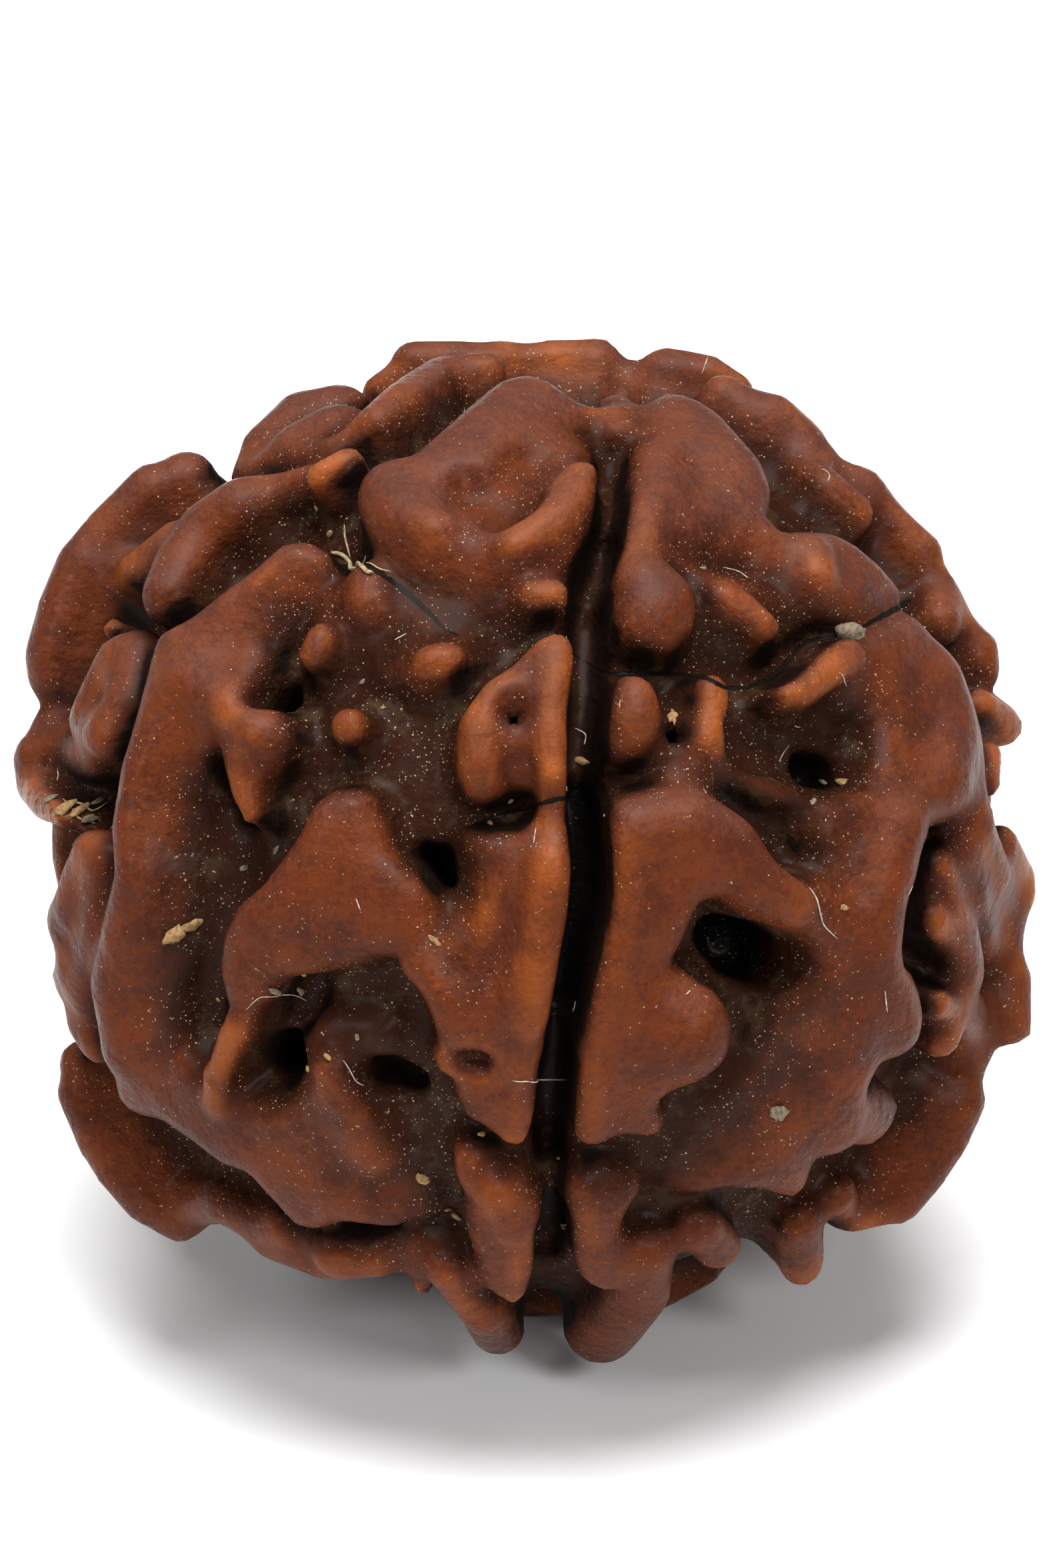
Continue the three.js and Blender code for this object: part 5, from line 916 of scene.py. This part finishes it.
def mesh_object(name, points, faces, material):
    """A smooth-shaded mesh object from arrays of points and faces."""
    mesh = bpy.data.meshes.new(name)
    mesh.from_pydata(points.tolist(), [], faces.tolist())
    mesh.polygons.foreach_set("use_smooth", [True] * len(mesh.polygons))
    mesh.update()
    mesh.materials.append(material)
    return place_object(name, mesh)


def add_values(piece, name, values):
    """One number for each corner of the mesh, for a material to read."""
    attribute = piece.data.attributes.new(name, "FLOAT", "POINT")
    attribute.data.foreach_set("value", np.asarray(values, dtype=np.float32))


def on_chart(points):
    """Where places of the body are seen on the chart."""
    stretch = CHART_DISTANCE / (CHART_DISTANCE - points[:, 2])
    return points[:, 0] * stretch, CHART_EYE_UP + (points[:, 1] - CHART_EYE_UP) * stretch


def near_crack(points):
    """For each place, how far it is from the nearest crack on the chart, above zero on the left
    of the crack and below on the right, and the crack's half width there less the way beyond
    its end. Places further off than CRACK_REACH or on the hidden side get a width below zero."""
    across, up = on_chart(points)
    least = np.full(len(points), CRACK_REACH)
    side = np.full(len(points), CRACK_REACH)
    room = np.full(len(points), -CRACK_REACH)
    for line in CRACKS:
        for index, (start, end) in enumerate(zip(line, line[1:])):
            span = np.array(end[:2]) - np.array(start[:2])
            length = np.hypot(*span)
            along = ((across - start[0]) * span[0] + (up - start[1]) * span[1]) / length
            aside = ((up - start[1]) * span[0] - (across - start[0]) * span[1]) / length
            share = np.clip(along / length, 0, 1)
            before = -along if index == 0 else np.zeros(len(points))
            after = along - length if index == len(line) - 2 else np.zeros(len(points))
            beyond = np.maximum(0, np.maximum(before, after))
            gap = np.hypot(aside, along - share * length)
            offset = np.where(beyond > 0, aside, np.sign(aside) * gap)
            width = start[2] + share * (end[2] - start[2]) - beyond
            nearer = gap < least
            least = np.where(nearer, gap, least)
            side = np.where(nearer, offset, side)
            room = np.where(nearer, width, room)
    return side, np.where(points[:, 2] > 0, room, -CRACK_REACH)


def make_stone(field, material):
    """The stone's fine surface, with its height, how deep it lies and how sharp it is. A cover
    is the share of open room that is missing a given reach above the surface, and an edge is
    the share of solid that is missing below it."""
    points, quads = net_surface(field)
    points = settle(field, points)
    outward = slope(field, points)
    piece = mesh_object("stone_surface", stand_up(points), quads, material)
    add_values(piece, "height", np.linalg.norm(points, axis=1) - FLOOR_RADIUS)
    for name, reach in COVER_REACHES.items():
        room = sample(field, points + outward * reach) / reach
        add_values(piece, name, 1 - np.clip(room, 0, 1))
    thin = -sample(field, points - outward * EDGE_REACH) / EDGE_REACH
    add_values(piece, "edge", 1 - np.clip(thin, 0, 1))
    add_values(piece, "upward", outward @ [0, TILT_COS, TILT_SIN])
    side, room = near_crack(points)
    add_values(piece, "crack_side", side)
    add_values(piece, "crack_room", room)
    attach(piece, "root")
    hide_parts("rudraksha_seed")
    return points


# What lies on the stone

def seen_spot(field, across, up):
    """Where the line of sight through a chart point first meets the stone."""
    eye = np.array([0, CHART_EYE_UP, CHART_DISTANCE])
    sight = unit(np.array([across, up, 0]) - eye)
    way = CHART_DISTANCE - HALF_SIDE + np.arange(0, HALF_SIDE, CELL / 4)
    line = eye + way[:, None] * sight
    return line[np.argmax(sample(field, line) < 0)]


def lump(middle, along, outward, half_length, half_width, random):
    """A rough crumb: a ball stretched along one direction, with three slow waves on it."""
    rows = np.linspace(0, math.pi, LUMP_ROWS + 1)[:, None]
    turns = np.linspace(0, 2 * math.pi, 2 * LUMP_ROWS + 1)[None, :-1]
    round_parts = np.cos(rows), np.sin(rows) * np.cos(turns), np.sin(rows) * np.sin(turns)
    ball = np.stack(np.broadcast_arrays(*round_parts), axis=-1)
    rough = np.ones(ball.shape[:2])
    for _ in range(3):
        quickness = random.normal(0, LUMP_QUICKNESS, 3)
        rough += LUMP_ROUGHNESS * np.sin(ball @ quickness + random.uniform(0, LUMP_LAST_START))
    aside = unit(np.cross(outward, along))
    along = unit(np.cross(aside, outward))
    shape = (ball * rough[..., None]) * [half_length, half_width, half_width * LUMP_FLATNESS]
    points = middle + shape @ np.array([along, aside, outward])
    number = np.arange(ball.shape[0] * ball.shape[1]).reshape(ball.shape[:2])
    onward = np.roll(number, -1, axis=1)
    quads = np.stack([number[:-1], number[1:], onward[1:], onward[:-1]], axis=-1).reshape(-1, 4)
    return points.reshape(-1, 3), quads


def strand(line, half_thickness):
    """A thread along a line of points: a ring of sides at each point, square to the line and
    tapered towards both ends."""
    line = np.asarray(line)
    onward = np.gradient(line, axis=0)
    onward /= np.linalg.norm(onward, axis=1)[:, None]
    aside = np.cross(onward, STRAND_ASIDE)
    aside /= np.linalg.norm(aside, axis=1)[:, None]
    across = np.cross(onward, aside)
    turns = np.linspace(0, 2 * math.pi, STRAND_SIDES + 1)[:-1]
    place = np.linspace(-1, 1, len(line))
    thick = half_thickness * np.sqrt(1 - STRAND_TAPER * place**4)
    ring = aside[:, None] * np.cos(turns)[None, :, None] + across[:, None] * np.sin(turns)[None, :, None]
    points = line[:, None] + ring * thick[:, None, None]
    number = np.arange(len(line) * STRAND_SIDES).reshape(len(line), STRAND_SIDES)
    onward_number = np.roll(number, -1, axis=1)
    quads = np.stack([number[:-1], onward_number[:-1], onward_number[1:], number[1:]], axis=-1)
    return points.reshape(-1, 3), quads.reshape(-1, 4)


def smooth_line(knots, pieces=5):
    """A Catmull-Rom curve through the knots."""
    knots = np.asarray(knots, dtype=float)
    padded = np.concatenate([[2 * knots[0] - knots[1]], knots, [2 * knots[-1] - knots[-2]]])
    share = np.linspace(0, 1, pieces, endpoint=False)[:, None]
    parts = []
    for before, start, end, after in zip(padded, padded[1:], padded[2:], padded[3:]):
        bend = 2 * before - 5 * start + 4 * end - after
        twist = 3 * (start - end) + after - before
        parts.append(start + 0.5 * ((end - before) * share + bend * share**2 + twist * share**3))
    return np.concatenate(parts + [knots[-1:]])


def on_surface(field, points, lift):
    """Points brought to the stone's surface and lifted off it by a small height."""
    points = settle(field, points, 6)
    return points + slope(field, points) * lift


def lay_charted(field, parts, random):
    """The crumbs and fibres that are charted, each where it is seen."""
    for from_across, from_up, to_across, to_up, half_width, shade in CRUMBS:
        start = seen_spot(field, from_across, from_up)
        end = seen_spot(field, to_across, to_up)
        middle = (start + end) / 2
        outward = slope(field, middle[None])[0]
        middle = on_surface(field, middle[None], half_width * CHARTED_LIFT)[0]
        half_length = np.linalg.norm(end - start) / 2 + half_width * CHARTED_ENDS
        parts[shade].append(lump(middle, end - start, outward, half_length, half_width, random))
    for half_thickness, shade, knots in FIBRES:
        line = smooth_line([seen_spot(field, *knot) for knot in knots])
        parts[shade].append(strand(on_surface(field, line, half_thickness), half_thickness))


def scatter(field, surface, parts, random):
    """Small crumbs in the stone's valleys, and fibres half there and half anywhere on it."""
    height = np.linalg.norm(surface, axis=1) - FLOOR_RADIUS
    valleys = surface[(height > VALLEY_HEIGHTS[0]) & (height < VALLEY_HEIGHTS[1])]
    for _ in range(SCATTERED_CRUMBS):
        spot = valleys[random.integers(len(valleys))]
        outward = slope(field, spot[None])[0]
        half_width = random.uniform(*SCATTERED_HALF_WIDTHS)
        half_length = half_width * SCATTERED_LENGTH
        shade = "tan" if random.uniform() < 0.5 else "grey"
        middle = spot + outward * half_width * SCATTERED_LIFT
        along = random.normal(size=3)
        parts[shade].append(lump(middle, along, outward, half_length, half_width, random))
    for _ in range(SCATTERED_FIBRES):
        ground = surface if random.uniform() < 0.5 else valleys
        spot = ground[random.integers(len(ground))]
        outward = slope(field, spot[None])[0]
        onward = unit(np.cross(outward, random.normal(size=3)))
        aside = np.cross(onward, outward)
        place = np.linspace(-1, 1, FIBRE_KNOTS)[:, None] * random.uniform(*FIBRE_HALF_LENGTHS)
        line = spot + place * onward + random.normal(0, FIBRE_BEND) * place**2 * aside
        parts["pale"].append(strand(on_surface(field, line, FIBRE_LIFT), FIBRE_HALF_THICKNESS))


def make_loose(field, surface):
    """Crumbs and fibres, each shade as one piece."""
    random = np.random.default_rng(SEED)
    parts = {shade: [] for shade in LOOSE}
    lay_charted(field, parts, random)
    scatter(field, surface, parts, random)
    for shade, pieces in parts.items():
        counts = np.cumsum([0] + [len(points) for points, _ in pieces])
        points = np.concatenate([points for points, _ in pieces])
        quads = np.concatenate([quads + count for (_, quads), count in zip(pieces, counts)])
        loose = mesh_object(shade + "_specks", stand_up(points), quads, loose_material(shade))
        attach(loose, "root")


# Materials

def new_material(name):
    """A material with nodes, and its shader."""
    material = bpy.data.materials.new(name)
    material.use_nodes = True
    return material, material.node_tree.nodes["Principled BSDF"]


class Nodes:
    """Short ways to add shader nodes to one material and to join them."""

    def __init__(self, material):
        self.tree = material.node_tree

    def put(self, socket, value):
        """A socket joined to another node's output, or set to a plain value."""
        if isinstance(value, bpy.types.NodeSocket):
            self.tree.links.new(value, socket)
        else:
            socket.default_value = value

    def maths(self, operation, first, second=0.0, clamp=False):
        """One operation on one or two numbers, held between 0 and 1 if clamp is true."""
        node = self.tree.nodes.new("ShaderNodeMath")
        node.operation = operation
        node.use_clamp = clamp
        self.put(node.inputs[0], first)
        self.put(node.inputs[1], second)
        return node.outputs[0]

    def plus(self, first, second, clamp=False):
        """The first number and the second."""
        return self.maths("ADD", first, second, clamp)

    def minus(self, first, second):
        """The first number less the second."""
        return self.maths("SUBTRACT", first, second)

    def times(self, first, second):
        """The first number times the second."""
        return self.maths("MULTIPLY", first, second)

    def blend(self, first, second, share):
        """A share of the second number and the rest of the first."""
        return self.plus(self.times(first, 1 - share), self.times(second, share))

    def swing(self, noise, size):
        """A noise made to swing round zero, its whole range as wide as the size."""
        return self.times(self.minus(noise, 0.5), size)

    def value(self, name):
        """One of the stone's own numbers, stored on its corners."""
        node = self.tree.nodes.new("ShaderNodeAttribute")
        node.attribute_name = name
        return node.outputs["Fac"]

    def fade(self, value, low, high):
        """0 at low, 1 at high, a smooth change between them and no change beyond. Low may be
        the larger of the two."""
        node = self.tree.nodes.new("ShaderNodeMapRange")
        node.interpolation_type = "SMOOTHSTEP"
        self.put(node.inputs["Value"], value)
        node.inputs["From Min"].default_value = low
        node.inputs["From Max"].default_value = high
        return node.outputs[0]

    def noise(self, where, scale, detail=3.0, roughness=0.55):
        """Cloudy noise round 0.5, with about the scale's number of patches a millimetre."""
        node = self.tree.nodes.new("ShaderNodeTexNoise")
        self.put(node.inputs["Vector"], where)
        node.inputs["Scale"].default_value = scale
        node.inputs["Detail"].default_value = detail
        node.inputs["Roughness"].default_value = roughness
        return node.outputs["Fac"]

    def stretched(self, where, scale, turn):
        """Places scaled by each axis's own factor and turned by Euler angles in radians."""
        node = self.tree.nodes.new("ShaderNodeMapping")
        node.inputs["Scale"].default_value = scale
        node.inputs["Rotation"].default_value = turn
        self.put(node.inputs["Vector"], where)
        return node.outputs["Vector"]

    def in_millimetres(self):
        """Places on the object, in millimetres."""
        place = self.tree.nodes.new("ShaderNodeTexCoord")
        return self.stretched(place.outputs["Object"], (1000, 1000, 1000), (0, 0, 0))

    def speckle(self, where, scale, size, least):
        """Round specks in those cells of a scattered net whose random share is above the least
        one: 1 on a speck, else 0."""
        node = self.tree.nodes.new("ShaderNodeTexVoronoi")
        self.put(node.inputs["Vector"], where)
        node.inputs["Scale"].default_value = scale
        split = self.tree.nodes.new("ShaderNodeSeparateColor")
        self.put(split.inputs["Color"], node.outputs["Color"])
        chosen = self.maths("GREATER_THAN", split.outputs["Red"], least)
        reach = self.times(split.outputs["Green"], size)
        near = self.minus(reach, node.outputs["Distance"])
        return self.times(chosen, self.fade(near, 0.0, SPECK_SOFTNESS))

    def bump(self, shader, height, distance, strength):
        """Fine relief on a shader: the height times the distance in metres."""
        node = self.tree.nodes.new("ShaderNodeBump")
        node.inputs["Distance"].default_value = distance
        node.inputs["Strength"].default_value = strength
        self.put(node.inputs["Height"], height)
        self.put(shader.inputs["Normal"], node.outputs["Normal"])

    def mix(self, share, first, second):
        """A share of the second colour and the rest of the first."""
        node = self.tree.nodes.new("ShaderNodeMix")
        node.data_type = "RGBA"
        self.put(node.inputs["Factor"], share)
        self.put(node.inputs["A"], first)
        self.put(node.inputs["B"], second)
        return node.outputs["Result"]


def loose_material(shade):
    """Dry, dull crumbs and fibres in one shade, slightly mottled."""
    material, shader = new_material(shade + "_loose")
    nodes = Nodes(material)
    patchy = nodes.noise(nodes.in_millimetres(), 9.0, 3)
    dark = tuple(0.5 * channel for channel in LOOSE[shade][:3]) + (1,)
    nodes.put(shader.inputs["Base Color"], nodes.mix(nodes.fade(patchy, 0.35, 0.6), dark, LOOSE[shade]))
    for name, value in LOOSE_FINISH.items():
        shader.inputs[name].default_value = value
    return material


class StoneSkin(Nodes):
    """The noises and the stone's own numbers that its finish is made of, and the share that
    each layer of colour has. Heights are above the valley floor, in millimetres."""

    def __init__(self, material):
        super().__init__(material)
        self.where = self.in_millimetres()
        self.deep = self.value("wide_cover")
        self.hollow = self.value("near_cover")
        self.cover = self.blend(self.hollow, self.deep, 0.6)
        self.edge = self.value("edge")
        self.height = self.value("height")
        self.grain = self.noise(self.where, 6.0, 5, 0.7)
        self.blotch = self.noise(self.where, 0.75, 4)
        self.patch = self.noise(self.where, 0.35, 2)

    def mottle(self):
        """Red-brown in small blotches, less of it in hollows, so that the darker purple-brown there is partly
        painted shade.
        """
        blotches = self.fade(self.blend(self.blotch, self.grain, 0.45), 0.38, 0.60)
        return self.times(blotches, self.fade(self.hollow, 0.6, -0.15))

    def proud(self):
        """High edges, more in some patches than in others, and none in hollows. Their orange-brown is partly
        the stone's own colour and partly a painted highlight along the crests.
        """
        patches = self.fade(self.blend(self.patch, self.blotch, 0.5), 0.42, 0.58)
        share = self.times(self.fade(self.edge, 0.08, 0.5), self.fade(self.height, 0.7, 1.7))
        share = self.times(share, self.blend(0.6, patches, 0.4))
        share = self.times(share, self.fade(self.hollow, 0.35, -0.1))
        return self.times(share, 0.95)

    def painted_highlight(self):
        """A painted highlight on the highest edges."""
        share = self.times(self.fade(self.height, 1.7, 2.2), self.fade(self.edge, 0.3, 0.9))
        return self.times(share, 0.8)

    def painted_sheen(self):
        """A pale film painted on high places that face up, as the sheen of the light from above."""
        share = self.times(self.fade(self.value("upward"), 0.4, 0.95), self.fade(self.height, 0.8, 1.6))
        return self.times(share, 0.045)

    def low(self):
        """Low places, with a wavering border, darkened partly as dirt in the valleys and partly as painted
        shade.
        """
        uneven = self.plus(self.height, self.swing(self.blotch, 1.2))
        return self.times(self.fade(uneven, 1.45, 0.45), 0.92)

    def powder(self):
        """Patches of powder on the valley floor, none of it in the deepest pits."""
        patches = self.fade(self.noise(self.where, 1.1, 5, 0.7), 0.50, 0.66)
        share = self.times(patches, self.fade(self.height, 0.8, 0.3))
        share = self.times(share, self.fade(self.height, -0.4, 0.1))
        return self.times(share, 0.75)

    def dust(self):
        """Pale specks and longer flecks, thick in valleys and thin on top, in loose patches."""
        dusty = self.plus(self.fade(self.height, 1.7, 0.4), self.fade(self.cover, 0.02, 0.3), clamp=True)
        patches = self.fade(self.noise(self.where, 0.6, 3), 0.34, 0.58)
        dusty = self.times(self.blend(0.22, dusty, 0.78), patches)
        least = self.minus(0.95, self.times(dusty, 0.70))
        specks = self.speckle(self.stretched(self.where, FLECK_STRETCH, FLECK_TURN), *FLECKS, least)
        for scale, size in DUST_LAYERS:
            specks = self.plus(specks, self.speckle(self.where, scale, size, least), clamp=True)
        return self.times(self.times(specks, self.fade(self.deep, 0.9, 0.7)), 0.8)

    def crack(self):
        """The charted cracks, with a border that the grain makes ragged."""
        side = self.plus(self.value("crack_side"), self.swing(self.grain, 0.12))
        beyond = self.minus(self.maths("ABSOLUTE", side), self.value("crack_room"))
        return self.fade(beyond, 0.025, 0.0)


def stone_material():
    """Oiled woody shell: red-brown, mottled with purple-brown, orange-brown where it stands proud, partly as
    a painted highlight, with a painted highlight on its highest edges and a painted sheen on high places that
    face up, dark in its valleys, partly dirt and partly painted shade, with olive powder on them, and pale
    specks of dust all over."""
    material, shader = new_material("oiled_woody_shell")
    skin = StoneSkin(material)
    crack = skin.crack()
    # mottle, its purple-brown in hollows partly painted shade
    colour = skin.mix(skin.mottle(), PURPLE_BROWN, RED_BROWN)
    for share, layer in [
        # orange-brown edges, partly a painted highlight along the crests
        (skin.proud(), ORANGE_BROWN),
        # painted highlight on the highest edges
        (skin.painted_highlight(), HIGHLIGHT_BROWN),
        # painted sheen of the light from above on high places that face up
        (skin.painted_sheen(), PAINTED_SHEEN),
        # low places: partly dirt, partly painted shade
        (skin.low(), VALLEY_BROWN),
        # painted shade where the surface is covered and light is shut out
        (skin.fade(skin.cover, 0.18, 0.95), VALLEY_BROWN),
        (skin.powder(), POWDER),
        # painted shade in the most covered recesses
        (skin.times(skin.fade(skin.deep, 0.85, 1.0), 0.8), NEAR_BLACK),
        # painted shade in the deepest pits
        (skin.fade(skin.height, -0.3, -1.2), NEAR_BLACK),
        (skin.dust(), SPECK),
        (crack, LINE_BLACK),
    ]:
        colour = skin.mix(share, colour, layer)
    skin.put(shader.inputs["Base Color"], colour)
    rough = skin.plus(0.28, skin.times(skin.fade(skin.cover, 0.0, 0.3), 0.45))
    rough = skin.plus(rough, skin.swing(skin.grain, 0.35), clamp=True)
    skin.put(shader.inputs["Roughness"], rough)
    for name, value in OILED_FINISH.items():
        shader.inputs[name].default_value = value
    relief = skin.plus(skin.times(skin.grain, 0.50), skin.times(skin.noise(skin.where, 1.8, 3), 2.2))
    relief = skin.plus(relief, skin.times(skin.noise(skin.where, 22.0, 2), 0.15))
    relief = skin.minus(relief, skin.times(crack, 0.8))
    skin.bump(shader, relief, 0.00012, 0.8)
    return material


# Stage

def look_along(direction):
    """Euler angles that point a camera or lamp along a direction, with up kept up."""
    return Vector(direction).to_track_quat("-Z", "Y").to_euler()


def make_floor():
    """A pale square floor, level with the stone's flat spot."""
    half = FLOOR_HALF_SIDE
    mesh = bpy.data.meshes.new("floor")
    corners = [(-half, -half, 0), (half, -half, 0), (half, half, 0), (-half, half, 0)]
    mesh.from_pydata(corners, [], [(0, 1, 2, 3)])
    floor = place_object("floor", mesh)
    material, shader = new_material("pale_floor")
    for name, value in FLOOR_FINISH.items():
        shader.inputs[name].default_value = value
    mesh.materials.append(material)


def add_light(name, place, width, watts):
    """A round soft light that points at the stone's middle."""
    data = bpy.data.lights.new(name, "AREA")
    data.shape = "DISK"
    data.size = width
    data.energy = watts
    lamp = place_object(name, data)
    lamp.location = place
    lamp.rotation_euler = look_along(np.array(LIGHT_AIM) - np.array(place))


def make_stage():
    """The floor, the lights, and a studio that is evenly and faintly white all round."""
    make_floor()
    scene = bpy.context.scene
    scene.view_settings.view_transform = "Standard"
    world = bpy.data.worlds.new("studio")
    scene.world = world
    world.use_nodes = True
    background = world.node_tree.nodes["Background"]
    background.inputs["Color"].default_value = (1, 1, 1, 1)
    background.inputs["Strength"].default_value = STUDIO_STRENGTH
    for light in LIGHTS:
        add_light(*light)


def make_camera():
    """The camera at the chart's eye. Its lens makes the frame's height in the chart's plane
    fill the sensor's longer side."""
    toward = np.array([0, -TILT_COS, TILT_SIN])
    up = np.array([0, TILT_SIN, TILT_COS])
    centre = np.array([CENTRE_ACROSS, CENTRE_BACK, CENTRE_HEIGHT])
    data = bpy.data.cameras.new("camera")
    data.sensor_width = SENSOR_SIZE
    data.lens = SENSOR_SIZE * CHART_DISTANCE / FRAME_HEIGHT
    data.clip_start = 0.01
    data.clip_end = 10
    camera = place_object("camera", data)
    camera.location = (centre + up * CHART_EYE_UP + toward * CHART_DISTANCE) * MILLIMETRE
    camera.rotation_euler = look_along(-toward)
    bpy.context.scene.camera = camera


make_stage()
make_camera()
stone = stone_field()
surface = make_stone(stone, stone_material())
make_loose(stone, surface)
